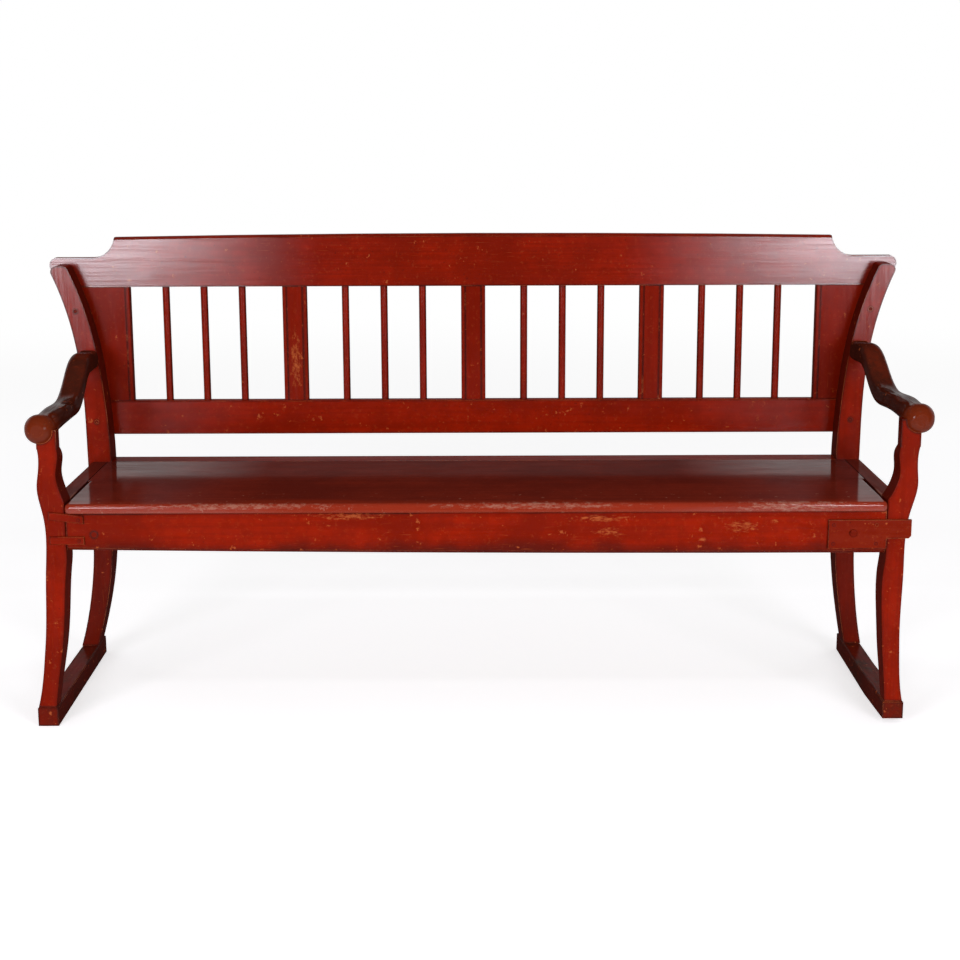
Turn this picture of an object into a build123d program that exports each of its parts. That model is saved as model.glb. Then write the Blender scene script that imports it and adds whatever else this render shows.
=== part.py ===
"""Swedish pull-out bench bed, built as separate pieces of joinery.

A painted pine bench between two end frames. The seat and its apron slide
forward together like a drawer, on slats that pass between fixed slats, and
two legs behind the apron swing down to carry the front of the bed.

Frame: +X to the sitter's left-hand end as seen from the front (the right of a
front view), +Y to the back, +Z up. The origin is on the floor, under the
middle of the bench. All sizes are in millimetres.
"""

import os

from build123d import *

# ---------------------------------------------------------------- overall
DEPTH = 500.0
LEG_SPAN = 1667.0
SEAT_HEIGHT = 450.0
SLIDE_GAP = 1.5
FACE_GAP = 0.6
# the old frame has racked: its front leans to the right for each millimetre of height
RACK = 0.034
RACK_LEVEL = 238.0

# ---------------------------------------------------------------- end frames
RUNNER_WIDTH = 40.0
RUNNER_HEIGHT = 38.0
RUNNER_NOSE = 2.5
RUNNER_LIP = 1.0
RUNNER_CHAMFER = 2.0
# the right runner has warped up at its nose and worn away under it
NOSE_LIFT = 7.0
NOSE_WEAR = 10.0
NOSE_WEAR_LENGTH = 180.0
NOSE_SEAT_RUN = 12.0
NOSE_WARP_LENGTH = 220.0

LEG_WIDTH = 40.0
LEG_DEPTH = 52.0
LEG_FOOT_DEPTH = 36.0
LEG_TAPER_RUN = 0.15
LEG_ARRIS = 3.0
LEG_KICK = 21.0
LEG_KNEE_DROP = 140.0
LEG_FLAT_DROP = 106.0
LEG_FOOT_WIDTH = 36.0
LEG_ANKLE_WIDTH = 32.5
LEG_ANKLE_HEIGHT = 40.0
KICK_CURVE = 2.0
LEG_SWELL = 3.5
LEG_SWELL_DROP = 25.0
ELBOW_RISE = 34.0
ELBOW_SWAY = 14.5
ELBOW_WIDTH = 41.0
HOLLOW_RISE = 54.0
HOLLOW_SWAY = 12.5
HOLLOW_WIDTH = 35.5
WAIST_RISE = 80.0
WAIST_SWAY = 10.5
WAIST_WIDTH = 36.5
HEAD_RISE = 106.0
HEAD_SWAY = 13.0
HEAD_WIDTH = 38.5
HEAD_DEPTH = 27.0
HEAD_SCOOP_DROP = 42.0

POST_WIDTH = 50.0
POST_DEPTH = 55.0
POST_INSET = 4.0
POST_NECK_WIDTH = 41.0
POST_TOP_WIDTH = 39.5
POST_FLARE = 72.0
POST_FLARE_CURVE = 3.0
POST_STRAIGHT_LEAN = 0.12
POST_KICK = 33.0
POST_KNEE_DROP = 144.0
POST_SHIN_WIDTH = 41.0
POST_SHIN_HEIGHT = 206.0
POST_ANKLE_WIDTH = 36.0
POST_ANKLE_HEIGHT = 50.0
POST_TOP_RISE = 49.0
POST_TOP_RADIUS = 12.0

ARM_REAR_RISE = 229.0
ARM_OFFSET = 8.0
ARM_REAR_WIDTH = 41.0
ARM_REAR_THICKNESS = 40.0
ARM_FLAT_LENGTH = 72.0
ARM_BEND_THICKNESS = 43.0
ARM_DROP_LENGTH = 160.0
ARM_FRONT_RISE = 162.0
ARM_FRONT_OUTSET = 6.0
ARM_WIDTH = 52.0
ARM_THICKNESS = 33.0
ARM_CANT = 8.0
ARM_ROUNDING_RATIO = 0.3
ARM_DROP_STEPS = 5
ARM_DROP_CURVE = 2.6
KNOB_RISE = 151.0
KNOB_OUTSET = 15.0
KNOB_WIDTH = 58.0
KNOB_THICKNESS = 57.0
KNOB_OVERHANG = 12.0
KNOB_LENGTH = 62.0
KNOB_ROUNDING_RATIO = 0.47
KNOB_SHAPE = ((0.62, 0.94), (0.40, 1.0), (0.20, 0.9), (0.06, 0.66), (0.0, 0.4))

END_RAIL_THICKNESS = 30.0
END_RAIL_HEIGHT = 95.0

TENON_THICKNESS = 14.0
TENON_LENGTH = 24.0
TENON_SHOULDER = 12.0
PEG_DIAMETER = 9.0
PEG_BACK_COVER = 4.0
UPPER_PEG_DROP = 46.0

# ---------------------------------------------------------------- back panel
PANEL_THICKNESS = 23.0
BACK_GAP = 50.0
LOWER_RAIL_HEIGHT = 73.5
LOWER_RAIL_LENGTH = 1640.0
OPENING_HEIGHT = 246.5
OPENING_WIDTH = 1471.0
CREST_HEIGHT = 105.0
CREST_ARCH = 6.0
CREST_TOP_WIDTH = 1528.0
CREST_LENGTH = 1806.0
CREST_SHOULDER_HEIGHT = 62.0
CREST_SHOULDER_RUN = 48.0
CREST_END_HEIGHT = 42.0
CREST_END_RAKE = 19.0
CREST_CORNER = 11.0
CREST_HOLLOW_RUN = 0.34
CREST_HOLLOW_RISE = 0.28
CREST_CORNER_BULGE = 0.8
CREST_CHAMFER = 5.0
RAIL_CHAMFER = 2.0
STILE_SETBACK = 1.5
MID_STILE_WIDTH = 52.0
MID_STILE_PITCH = 383.0
STILE_BEAD_WIDTH = 8.0
STILE_BEAD_RADIUS = 2.5
QUIRK_WIDTH = 2.0
QUIRK_DEPTH = 1.5
END_STILE_LAP = 8.0
END_STILE_STATIONS = 4
SPINDLE_DIAMETER = 15.5
SPINDLES_PER_BAY = 3
LEFT_BAY_DRIFT = 5.0
SPINDLE_PIN_DIAMETER = 11.0
SPINDLE_PIN_LENGTH = 20.0
STILE_TENON_THICKNESS = 8.0

# ---------------------------------------------------------------- seat
SEAT_BOARD_THICKNESS = 19.0
NOSING_OVERHANG = 12.0
NOSING_TOP_RADIUS = 8.0
NOSING_LOW_RADIUS = 5.0
NOSING_CORNER = 11.0
SEAT_JOINT_SETBACK = 220.0
TONGUE_THICKNESS = 7.0
TONGUE_LENGTH = 8.0
REAR_GAP = 1.0
APRON_HEIGHT = 76.0
APRON_THICKNESS = 22.0
APRON_LEFT_RISE = 2.0
APRON_RIGHT_DROP = 8.5
APRON_SAG = 6.5
APRON_CHAMFER = 5.0
REAR_RAIL_HEIGHT = 80.0
RAIL_HOUSING = 2.0

# ---------------------------------------------------------------- slat deck
SLAT_THICKNESS = 21.5
SLAT_WIDTH = 90.0
SLAT_COUNT = 7
SLAT_PITCH = 220.0
SLAT_HOUSING = 15.0
SLIDING_SLAT_WIDTH = 60.0
SLIDING_SLAT_THICKNESS = 23.0
BEARER_GAP = 0.5
BEARER_THICKNESS = 30.0
BEARER_HEIGHT = 42.5
BEARER_TENON_LENGTH = 20.0
CROSS_BAR_WIDTH = 30.0
CROSS_BAR_HEIGHT = 28.0
CROSS_BAR_LENGTH = 1540.0
CROSS_BAR_NOTCH = 3.0
NAIL_DIAMETER = 3.2
NAIL_HEAD_DIAMETER = 7.0
NAIL_HEAD_HEIGHT = 2.0
NAIL_LENGTH = 48.0

# ---------------------------------------------------------------- drop legs
PIVOT_SPACING = 1466.0
PIVOT_DROP = 62.0
DROP_LEG_WIDTH = 34.0
DROP_LEG_THICKNESS = 23.0
DROP_LEG_FLOOR_GAP = 3.0
BOLT_DIAMETER = 8.0
BOLT_RUNNING_GAP = 0.05
BOLT_HEAD_DIAMETER = 15.0
BOLT_HEAD_HEIGHT = 4.0
BOLT_TAIL = 1.0
WASHER_DIAMETER = 22.0
WASHER_THICKNESS = 1.5
WASHER_GAP = 0.5
NUT_SIZE = 16.0
NUT_THICKNESS = 6.0
NUT_CLEARANCE = 2.5

# ---------------------------------------------------------------- lap pieces
PLATE_THICKNESS = 7.0
PLATE_LENGTH = 160.0
PLATE_HEIGHT = 57.0
PLATE_TONGUE_HEIGHT = 37.0
PLATE_PAST_LEG = 6.0
PLATE_TOP_DROP = 17.0
PLATE_CORNER = 5.0
STRAP_THICKNESS = 5.0
STRAP_LENGTH = 67.0
STRAP_HEIGHT = 16.0
STRAP_REACH = 32.0
STRAP_CHAMFER = 1.2
UPPER_STRAP_RISE = 8.0
LOWER_STRAP_RISE = 0.0
UPPER_STRAP_DROP = 5.0
LOWER_STRAP_DROP = 46.0
LAP_NAIL_LENGTH = 18.0
LAP_NAIL_HEAD_HEIGHT = 1.0
LAP_NAIL_EDGE = 10.0

# ---------------------------------------------------------------- levels
Y_NOSE = -DEPTH / 2
Y_BACK = DEPTH / 2
Y_APRON = Y_NOSE + NOSING_OVERHANG
Y_APRON_BACK = Y_APRON + APRON_THICKNESS
Y_LEG = Y_APRON + FACE_GAP
Y_LEG_BACK = Y_LEG + LEG_DEPTH
Y_PANEL = Y_BACK - PANEL_THICKNESS
Y_POST = Y_PANEL - POST_DEPTH
Y_REAR_RAIL = Y_POST + REAR_GAP
Y_SEAT_REAR = Y_POST - REAR_GAP
Y_SEAT_JOINT = Y_NOSE + SEAT_JOINT_SETBACK

Z_BOARD = SEAT_HEIGHT - SEAT_BOARD_THICKNESS
Z_APRON = Z_BOARD - APRON_HEIGHT
Z_SLIDING_SLAT = Z_BOARD - SLIDING_SLAT_THICKNESS
Z_BEARER = Z_SLIDING_SLAT - BEARER_GAP
Z_LOWER_RAIL = SEAT_HEIGHT + BACK_GAP
Z_OPENING = Z_LOWER_RAIL + LOWER_RAIL_HEIGHT
Z_CREST = Z_OPENING + OPENING_HEIGHT
Z_CREST_TOP = Z_CREST + CREST_HEIGHT
Z_POST_TOP = Z_CREST + POST_TOP_RISE
Z_PIVOT = SEAT_HEIGHT - PIVOT_DROP
Z_LEG_KNEE = SEAT_HEIGHT - LEG_KNEE_DROP
Z_LEG_FLAT = SEAT_HEIGHT - LEG_FLAT_DROP
Z_LEG_HEAD = SEAT_HEIGHT + HEAD_RISE
Z_POST_KNEE = SEAT_HEIGHT - POST_KNEE_DROP
Z_ARM_REAR = SEAT_HEIGHT + ARM_REAR_RISE
Z_ARM_FRONT = SEAT_HEIGHT + ARM_FRONT_RISE
Z_KNOB = SEAT_HEIGHT + KNOB_RISE
Z_END_RAIL = SEAT_HEIGHT - END_RAIL_HEIGHT
Z_END_JOINT = SEAT_HEIGHT - END_RAIL_HEIGHT / 2

LEG_OUTER = LEG_SPAN / 2
LEG_INNER = LEG_OUTER - LEG_WIDTH
LEG_CENTRE = LEG_OUTER - LEG_WIDTH / 2
POST_CENTRE = LEG_OUTER - POST_INSET - POST_WIDTH / 2
POST_FACE = POST_CENTRE - POST_WIDTH / 2

DROP_LEG_LENGTH = Z_PIVOT - DROP_LEG_FLOOR_GAP
Y_DROP_LEG = Y_APRON_BACK + SLIDE_GAP
Y_WASHER = Y_DROP_LEG + DROP_LEG_THICKNESS + WASHER_GAP
Y_NUT = Y_WASHER + WASHER_THICKNESS
Y_BOLT_END = Y_NUT + NUT_THICKNESS + BOLT_TAIL
Y_BEARER = Y_BOLT_END + NUT_CLEARANCE
Y_BEARER_BACK = Y_BEARER + BEARER_THICKNESS

RIGHT = 1
LEFT = -1

PIECES = {}


# ---------------------------------------------------------------- helpers
def block(x, y, z):
    """Return a box that spans the given (low, high) pairs."""
    size = (x[1] - x[0], y[1] - y[0], z[1] - z[0])
    centre = ((x[0] + x[1]) / 2, (y[0] + y[1]) / 2, (z[0] + z[1]) / 2)
    return Pos(*centre) * Box(*size)


def rod(start, end, diameter):
    """Return a round bar between two points that share two coordinates."""
    path = Line(start, end)
    return extrude(Plane(start, z_dir=path % 0) * Circle(diameter / 2), path.length)


def board(edges, y_front, y_back):
    """Return the board cut to a closed front outline of X, Z edges."""
    outline = make_face(Plane.XZ * (edges[0] + edges[1:]))
    return Pos(0, y_front, 0) * extrude(outline, y_back - y_front, dir=(0, 1, 0))


def side_board(edges, x_low, x_high):
    """Return the board cut to a closed side outline of Y, Z edges."""
    outline = make_face(Plane.YZ * (edges[0] + edges[1:]))
    return Pos(x_low, 0, 0) * extrude(outline, x_high - x_low, dir=(1, 0, 0))


def swept_outline(stations):
    """Return the edges of an upright outline from (height, centre, width) stations."""
    outer = [(centre + width / 2, height) for height, centre, width in stations]
    inner = [(centre - width / 2, height) for height, centre, width in stations]
    return [
        Spline(outer),
        Line(outer[-1], inner[-1]),
        Spline(inner[::-1]),
        Line(inner[0], outer[0]),
    ]


def add_pair(name, right_piece):
    """Store a right-hand piece and its mirrored left-hand twin."""
    PIECES[f"{name}_right"] = right_piece
    PIECES[f"{name}_left"] = mirror(right_piece, about=Plane.YZ)


def add_ends(name, make):
    """Store the pieces of both ends; each is made at the right, and the left one is mirrored."""
    PIECES[f"{name}_right"] = make(RIGHT)
    PIECES[f"{name}_left"] = mirror(make(LEFT), about=Plane.YZ)


def both_sides(shape):
    """Return a shape together with its mirror image across the middle."""
    return shape + mirror(shape, about=Plane.YZ)


def both_ends(make):
    """Return the right end's shape together with the left end's, mirrored into place."""
    return make(RIGHT) + mirror(make(LEFT), about=Plane.YZ)


def racked(side, height):
    """Return how far the racked frame has moved an end outwards at a height."""
    return side * RACK * (height - RACK_LEVEL)


def leg_inner(side):
    """Return the distance from the middle to a front leg's inner face beside the seat."""
    return LEG_INNER + racked(side, Z_END_JOINT)


def seat_half(side):
    """Return the distance from the middle to the end of the seat."""
    return leg_inner(side) - SLIDE_GAP


# ---------------------------------------------------------------- end frames
def kick_out(height, amount, knee):
    """Return how far a leg has moved out at a height below its knee, towards its foot."""
    climbed = (height - RUNNER_HEIGHT) / (knee - RUNNER_HEIGHT)
    return amount * max(0.0, 1 - climbed) ** KICK_CURVE


def flare_out(height):
    """Return how far the back post leans out at a height above the seat."""
    rise = (height - SEAT_HEIGHT) / (Z_POST_TOP - SEAT_HEIGHT)
    curved_lean = (1 - POST_STRAIGHT_LEAN) * rise**POST_FLARE_CURVE
    return POST_FLARE * (POST_STRAIGHT_LEAN * rise + curved_lean)


def leg_foot(side):
    """Return the X centre of the front leg's foot."""
    return LEG_CENTRE + LEG_KICK + racked(side, RUNNER_HEIGHT)


def post_kick(side):
    """Return how far the back post's foot is kicked out."""
    return POST_KICK + racked(side, RUNNER_HEIGHT)


def head_centre(side, height):
    """Return the X centre of the arm support's head, carried up to a height."""
    return LEG_OUTER + HEAD_SWAY - HEAD_WIDTH / 2 + racked(side, height)


def front_foot_height(side):
    """Return the level at which the front leg stands on its runner."""
    return RUNNER_HEIGHT + NOSE_LIFT if side == RIGHT else RUNNER_HEIGHT


def warped_runner_side(y_front):
    """Return the side view of the warped right runner, wide enough to cut both from."""
    y_foot = Y_LEG + LEG_FOOT_DEPTH + NOSE_SEAT_RUN
    top = front_foot_height(RIGHT)
    outline = Polyline(
        (y_front, NOSE_WEAR),
        (y_front, top),
        (y_foot, top),
        (y_foot + NOSE_WARP_LENGTH, RUNNER_HEIGHT),
        (Y_BACK, RUNNER_HEIGHT),
        (Y_BACK, 0),
        (y_front + NOSE_WEAR_LENGTH, 0),
        close=True,
    )
    return side_board(outline.edges(), 0, CREST_LENGTH / 2)


def make_runner(side):
    """Return the floor runner under one end frame, with a mortise for each leg."""
    front_outer = leg_foot(side) + LEG_FOOT_WIDTH / 2 + RUNNER_LIP
    back_outer = POST_CENTRE + post_kick(side) + POST_ANKLE_WIDTH / 2
    y_front = Y_LEG - RUNNER_NOSE
    plan = Polyline(
        (front_outer - RUNNER_WIDTH, y_front),
        (front_outer, y_front),
        (back_outer, Y_BACK),
        (back_outer - POST_ANKLE_WIDTH, Y_BACK),
        close=True,
    )
    runner = extrude(make_face(plan), front_foot_height(side))
    if side == RIGHT:
        runner = runner & warped_runner_side(y_front)
    top_faces = [face for face in runner.faces() if face.normal_at().Z > 0.9]
    top_edges = [edge for face in top_faces for edge in face.edges() if edge.length > RUNNER_WIDTH / 2]
    rim = [edge for edge in top_edges if top_edges.count(edge) == 1]
    runner = chamfer(rim, RUNNER_CHAMFER)
    return runner - front_foot_tenon(side) - back_foot_tenon(side)


def front_foot_tenon(side):
    """Return the tenon that stands the front leg in the runner."""
    x = (leg_foot(side) - TENON_THICKNESS / 2, leg_foot(side) + TENON_THICKNESS / 2)
    y = (Y_LEG + TENON_SHOULDER, Y_LEG + LEG_FOOT_DEPTH - TENON_SHOULDER / 2)
    return block(x, y, (front_foot_height(side) - TENON_LENGTH, front_foot_height(side)))


def back_foot_tenon(side):
    """Return the tenon that stands the back post in the runner."""
    x_centre = POST_CENTRE + post_kick(side)
    x = (x_centre - TENON_THICKNESS / 2, x_centre + TENON_THICKNESS / 2)
    y = (Y_POST + TENON_SHOULDER, Y_PANEL - TENON_SHOULDER)
    return block(x, y, (RUNNER_HEIGHT - TENON_LENGTH, RUNNER_HEIGHT))


def lower_leg_stations(side):
    """Return the front leg's (height, width) stations from the foot to the knee."""
    foot = front_foot_height(side)
    ankle = foot + LEG_ANKLE_HEIGHT
    calf = (ankle + Z_LEG_KNEE) / 2
    half_grown = (LEG_ANKLE_WIDTH + LEG_WIDTH) / 2
    return [
        (foot, LEG_FOOT_WIDTH),
        (ankle, LEG_ANKLE_WIDTH),
        ((ankle + calf) / 2, (LEG_ANKLE_WIDTH + half_grown) / 2),
        (calf, half_grown),
        (Z_LEG_KNEE, LEG_WIDTH),
    ]


def support_stations():
    """Return the arm support's (rise above the seat, outer sway, width) stations."""
    return [
        (ELBOW_RISE, ELBOW_SWAY, ELBOW_WIDTH),
        (HOLLOW_RISE, HOLLOW_SWAY, HOLLOW_WIDTH),
        (WAIST_RISE, WAIST_SWAY, WAIST_WIDTH),
        (HEAD_RISE, HEAD_SWAY, HEAD_WIDTH),
    ]


def make_leg_blank(side):
    """Return the curved front leg and arm support, before its joints are cut."""
    outer = []
    inner_low = []
    for height, width in lower_leg_stations(side):
        kick = kick_out(height, LEG_KICK, Z_LEG_KNEE)
        centre = LEG_CENTRE + kick + racked(side, height)
        outer.append((centre + width / 2, height))
        inner_low.append((centre - width / 2, height))
    swell_height = SEAT_HEIGHT - LEG_SWELL_DROP
    outer.append((LEG_OUTER + LEG_SWELL + racked(side, swell_height), swell_height))
    inner_low.append((leg_inner(side), Z_LEG_FLAT))
    inner_high = [(leg_inner(side), SEAT_HEIGHT + SLIDE_GAP)]
    for rise, sway, width in support_stations():
        height = SEAT_HEIGHT + rise
        edge = LEG_OUTER + sway + racked(side, height)
        outer.append((edge, height))
        inner_high.append((edge - width, height))
    foot_slope = (inner_low[0][0] - inner_low[1][0], inner_low[0][1] - inner_low[1][1])
    front = [
        Spline(outer),
        Line(outer[-1], inner_high[-1]),
        Spline(inner_high[::-1]),
        Line(inner_high[0], inner_low[-1]),
        Spline(inner_low[::-1], tangents=[(0, -1), foot_slope]),
        Line(inner_low[0], outer[0]),
    ]
    leg = board(front, Y_LEG, Y_LEG_BACK) - make_leg_taper(side) - make_head_scoop()
    return fillet(leg.edges().filter_by(GeomType.BSPLINE).group_by(Axis.Y)[0], LEG_ARRIS)


def make_leg_taper(side):
    """Return the waste sawn off the back of the front leg below the knee."""
    foot_back = (Y_LEG + LEG_FOOT_DEPTH, front_foot_height(side))
    waste_foot = (Y_LEG_BACK + LEG_DEPTH, front_foot_height(side))
    waste_knee = (Y_LEG_BACK + LEG_DEPTH, Z_LEG_KNEE)
    knee_back = (Y_LEG_BACK, Z_LEG_KNEE)
    side = [
        Spline([knee_back, foot_back], tangents=[(0, -1), (-LEG_TAPER_RUN, -1)]),
        Line(foot_back, waste_foot),
        Line(waste_foot, waste_knee),
        Line(waste_knee, knee_back),
    ]
    return side_board(side, LEG_INNER - LEG_WIDTH, LEG_OUTER + 2 * LEG_WIDTH)


def make_head_scoop():
    """Return the waste scooped off the back of the arm support, up to the arm."""
    z_top = Z_KNOB + ARM_OFFSET
    low = (Y_LEG_BACK, Z_LEG_HEAD - HEAD_SCOOP_DROP)
    high = (Y_LEG + HEAD_DEPTH, Z_LEG_HEAD)
    side = [
        Spline([low, high], tangents=[(0, 1), (-1, 1)]),
        Line(high, (high[0], z_top)),
        Line((high[0], z_top), (Y_LEG_BACK + LEG_DEPTH, z_top)),
        Line((Y_LEG_BACK + LEG_DEPTH, z_top), (Y_LEG_BACK + LEG_DEPTH, low[1])),
        Line((Y_LEG_BACK + LEG_DEPTH, low[1]), low),
    ]
    return side_board(side, LEG_INNER - LEG_WIDTH, LEG_OUTER + 2 * LEG_WIDTH)


def arm_tenon(side):
    """Return the tenon on top of the front leg that enters the arm."""
    x_centre = head_centre(side, Z_LEG_HEAD)
    x = (x_centre - TENON_THICKNESS / 2, x_centre + TENON_THICKNESS / 2)
    y = (Y_LEG + TENON_SHOULDER / 2, Y_LEG + HEAD_DEPTH - TENON_SHOULDER / 2)
    return block(x, y, (Z_LEG_HEAD - TENON_SHOULDER, knob_height(side)))


def make_front_leg(side, arm):
    """Return the front leg, scribed to the underside of the arm."""
    x_centre = head_centre(side, Z_LEG_HEAD)
    x = (x_centre - HEAD_WIDTH / 2, x_centre + HEAD_WIDTH / 2)
    head = block(x, (Y_LEG, Y_LEG + HEAD_DEPTH), (Z_LEG_HEAD, knob_height(side)))
    leg = make_leg_blank(side) + head - arm
    leg = leg + arm_tenon(side) + front_foot_tenon(side)
    return leg - front_rail_tenon(side) - leg_peg(side)


def make_back_post(side):
    """Return the back post with its flared top and its kicked-out foot."""
    neck = Z_ARM_REAR + ARM_REAR_THICKNESS / 2
    ankle = RUNNER_HEIGHT + POST_ANKLE_HEIGHT
    shin = RUNNER_HEIGHT + POST_SHIN_HEIGHT
    below = [
        (RUNNER_HEIGHT, POST_ANKLE_WIDTH),
        (ankle, POST_ANKLE_WIDTH),
        ((ankle + shin) / 2, (POST_ANKLE_WIDTH + POST_SHIN_WIDTH) / 2),
        (shin, POST_SHIN_WIDTH),
        ((shin + SEAT_HEIGHT) / 2, (POST_SHIN_WIDTH + POST_WIDTH) / 2),
    ]
    above = [
        (SEAT_HEIGHT, POST_WIDTH),
        ((SEAT_HEIGHT + neck) / 2, (POST_WIDTH + POST_NECK_WIDTH) / 2),
        (neck, POST_NECK_WIDTH),
        ((neck + Z_POST_TOP) / 2, POST_TOP_WIDTH),
        (Z_POST_TOP, POST_TOP_WIDTH),
    ]
    stations = []
    for height, width in below:
        centre = POST_CENTRE + kick_out(height, post_kick(side), Z_POST_KNEE)
        stations.append((height, centre, width))
    for height, width in above:
        stations.append((height, POST_CENTRE + flare_out(height), width))
    post = board(swept_outline(stations), Y_POST, Y_PANEL)
    top_edges = post.faces().sort_by(Axis.Z)[-1].edges().filter_by(Axis.Y)
    post = fillet(top_edges, POST_TOP_RADIUS)
    post = post + back_foot_tenon(side)
    post = post - back_rail_tenon(side) - rear_rail_end() - arm_rear_tenon(side)
    return post - panel_pegs() - rail_peg(side)


def arm_rear_height(side):
    """Return the height of an arm's centre at the back post."""
    return Z_ARM_REAR + side * ARM_OFFSET


def knob_height(side):
    """Return the height of the centre of an arm's knob."""
    return Z_KNOB + side * ARM_OFFSET


def arm_rear_tenon(side):
    """Return the tenon at the back of the arm that enters the post."""
    height = arm_rear_height(side)
    x_centre = POST_CENTRE + flare_out(height)
    x = (x_centre - TENON_THICKNESS / 2, x_centre + TENON_THICKNESS / 2)
    z = (height - TENON_SHOULDER, height + TENON_SHOULDER)
    return block(x, (Y_POST, Y_POST + TENON_LENGTH), z)


def arm_section(centre, cant, size, rounding):
    """Return one section of the arm across its run, canted about its centre."""
    plane = Plane(centre, x_dir=(1, 0, 0), z_dir=(0, -1, 0))
    width, thickness = size
    return plane * Rot(0, 0, -cant) * RectangleRounded(width, thickness, rounding * thickness)


def arm_stretch(side):
    """Return the sections of the arm from the post to the start of the knob."""
    z_rear = arm_rear_height(side)
    z_front = Z_ARM_FRONT + side * ARM_OFFSET
    x_rear = POST_CENTRE + flare_out(z_rear)
    x_front = head_centre(side, Z_ARM_FRONT) + ARM_FRONT_OUTSET
    y_bend = Y_POST - ARM_FLAT_LENGTH
    y_knob = Y_LEG - KNOB_OVERHANG + KNOB_LENGTH
    rear_size = (ARM_REAR_WIDTH, ARM_REAR_THICKNESS)
    sections = []
    for y in (Y_POST, (Y_POST + y_bend) / 2):
        sections.append(arm_section((x_rear, y, z_rear), 0, rear_size, ARM_ROUNDING_RATIO))
    for step in range(ARM_DROP_STEPS + 1):
        run = step / ARM_DROP_STEPS
        fallen = 1 - (1 - run) ** ARM_DROP_CURVE * (1 + ARM_DROP_CURVE * run)
        y = y_bend - run * ARM_DROP_LENGTH
        reach = (Y_POST - y) / (Y_POST - y_knob)
        centre = (x_rear + reach * (x_front - x_rear), y, z_rear + fallen * (z_front - z_rear))
        width = ARM_REAR_WIDTH + reach * (ARM_WIDTH - ARM_REAR_WIDTH)
        thickness = ARM_BEND_THICKNESS + run * (ARM_THICKNESS - ARM_BEND_THICKNESS)
        sections.append(arm_section(centre, run * ARM_CANT, (width, thickness), ARM_ROUNDING_RATIO))
    y_mid = (y_bend - ARM_DROP_LENGTH + y_knob) / 2
    front_size = (ARM_WIDTH, ARM_THICKNESS)
    sections.append(arm_section((x_front, y_mid, z_front), ARM_CANT, front_size, ARM_ROUNDING_RATIO))
    return sections


def make_arm(side):
    """Return the shaped arm: flat at the post, dropping to a rounded knob."""
    x_knob = head_centre(side, Z_KNOB) + KNOB_OUTSET
    knob = []
    for run, fullness in KNOB_SHAPE:
        centre = (x_knob, Y_LEG - KNOB_OVERHANG + run * KNOB_LENGTH, knob_height(side))
        size = (fullness * KNOB_WIDTH, fullness * KNOB_THICKNESS)
        knob.append(arm_section(centre, 0, size, KNOB_ROUNDING_RATIO))
    return loft(arm_stretch(side) + knob)


def rail_tenon(side, y_span):
    """Return the end rail's tenon over a span of Y."""
    x_centre = leg_inner(side) + END_RAIL_THICKNESS / 2
    x = (x_centre - TENON_THICKNESS / 2, x_centre + TENON_THICKNESS / 2)
    return block(x, y_span, (Z_END_RAIL + TENON_SHOULDER, SEAT_HEIGHT - 2 * TENON_SHOULDER))


def front_rail_tenon(side):
    """Return the end rail's tenon into the front leg."""
    return rail_tenon(side, (Y_LEG_BACK - TENON_LENGTH, Y_LEG_BACK))


def back_rail_tenon(side):
    """Return the end rail's tenon into the back post."""
    return rail_tenon(side, (Y_POST, Y_POST + TENON_LENGTH))


def make_end_rail(side):
    """Return the rail that joins the front leg to the back post, flush with the seat."""
    x = (leg_inner(side), leg_inner(side) + END_RAIL_THICKNESS)
    rail = block(x, (Y_LEG_BACK, Y_POST), (Z_END_RAIL, SEAT_HEIGHT))
    rail = rail + front_rail_tenon(side) + back_rail_tenon(side)
    return rail - bearer_tenon(side) - end_pegs(side)


def joint_peg(side, y, x_outer):
    """Return a peg across an end rail's joint, from inside the mortise to the outer face."""
    x_inner = leg_inner(side) + TENON_SHOULDER / 2
    return rod((x_inner, y, Z_END_JOINT), (x_outer, y, Z_END_JOINT), PEG_DIAMETER)


def leg_peg(side):
    """Return the peg across the joint of the front leg and the end rail."""
    x_outer = LEG_OUTER + racked(side, Z_END_JOINT)
    return joint_peg(side, Y_LEG_BACK - TENON_LENGTH / 2, x_outer)


def rail_peg(side):
    """Return the peg across the joint of the back post and the end rail."""
    return joint_peg(side, Y_POST + TENON_LENGTH / 2, POST_CENTRE + POST_WIDTH / 2)


def end_pegs(side):
    """Return both pegs of an end rail."""
    return leg_peg(side) + rail_peg(side)


def panel_peg(height):
    """Return the peg that holds the back panel to the post at a height."""
    x = POST_CENTRE + flare_out(height)
    return rod((x, Y_POST, height), (x, Y_BACK - PEG_BACK_COVER, height), PEG_DIAMETER)


def panel_pegs():
    """Return the pegs that hold the back panel to one post."""
    low = panel_peg(Z_LOWER_RAIL + LOWER_RAIL_HEIGHT / 2)
    return low + panel_peg(Z_CREST - UPPER_PEG_DROP)


# ---------------------------------------------------------------- fixed seat frame
def rear_rail_end():
    """Return the rear rail's housed end and its tenon, which enter the back post."""
    z = (SEAT_HEIGHT - REAR_RAIL_HEIGHT, SEAT_HEIGHT)
    x = (POST_FACE - RAIL_HOUSING, POST_FACE + RAIL_HOUSING)
    housed = block(x, (Y_REAR_RAIL, Y_PANEL), z)
    y_centre = (Y_REAR_RAIL + Y_PANEL) / 2
    y = (y_centre, y_centre + TENON_THICKNESS)
    tenon_z = (z[0] + TENON_SHOULDER, z[1] - TENON_SHOULDER)
    return housed + block((POST_FACE, POST_FACE + TENON_LENGTH), y, tenon_z)


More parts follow.
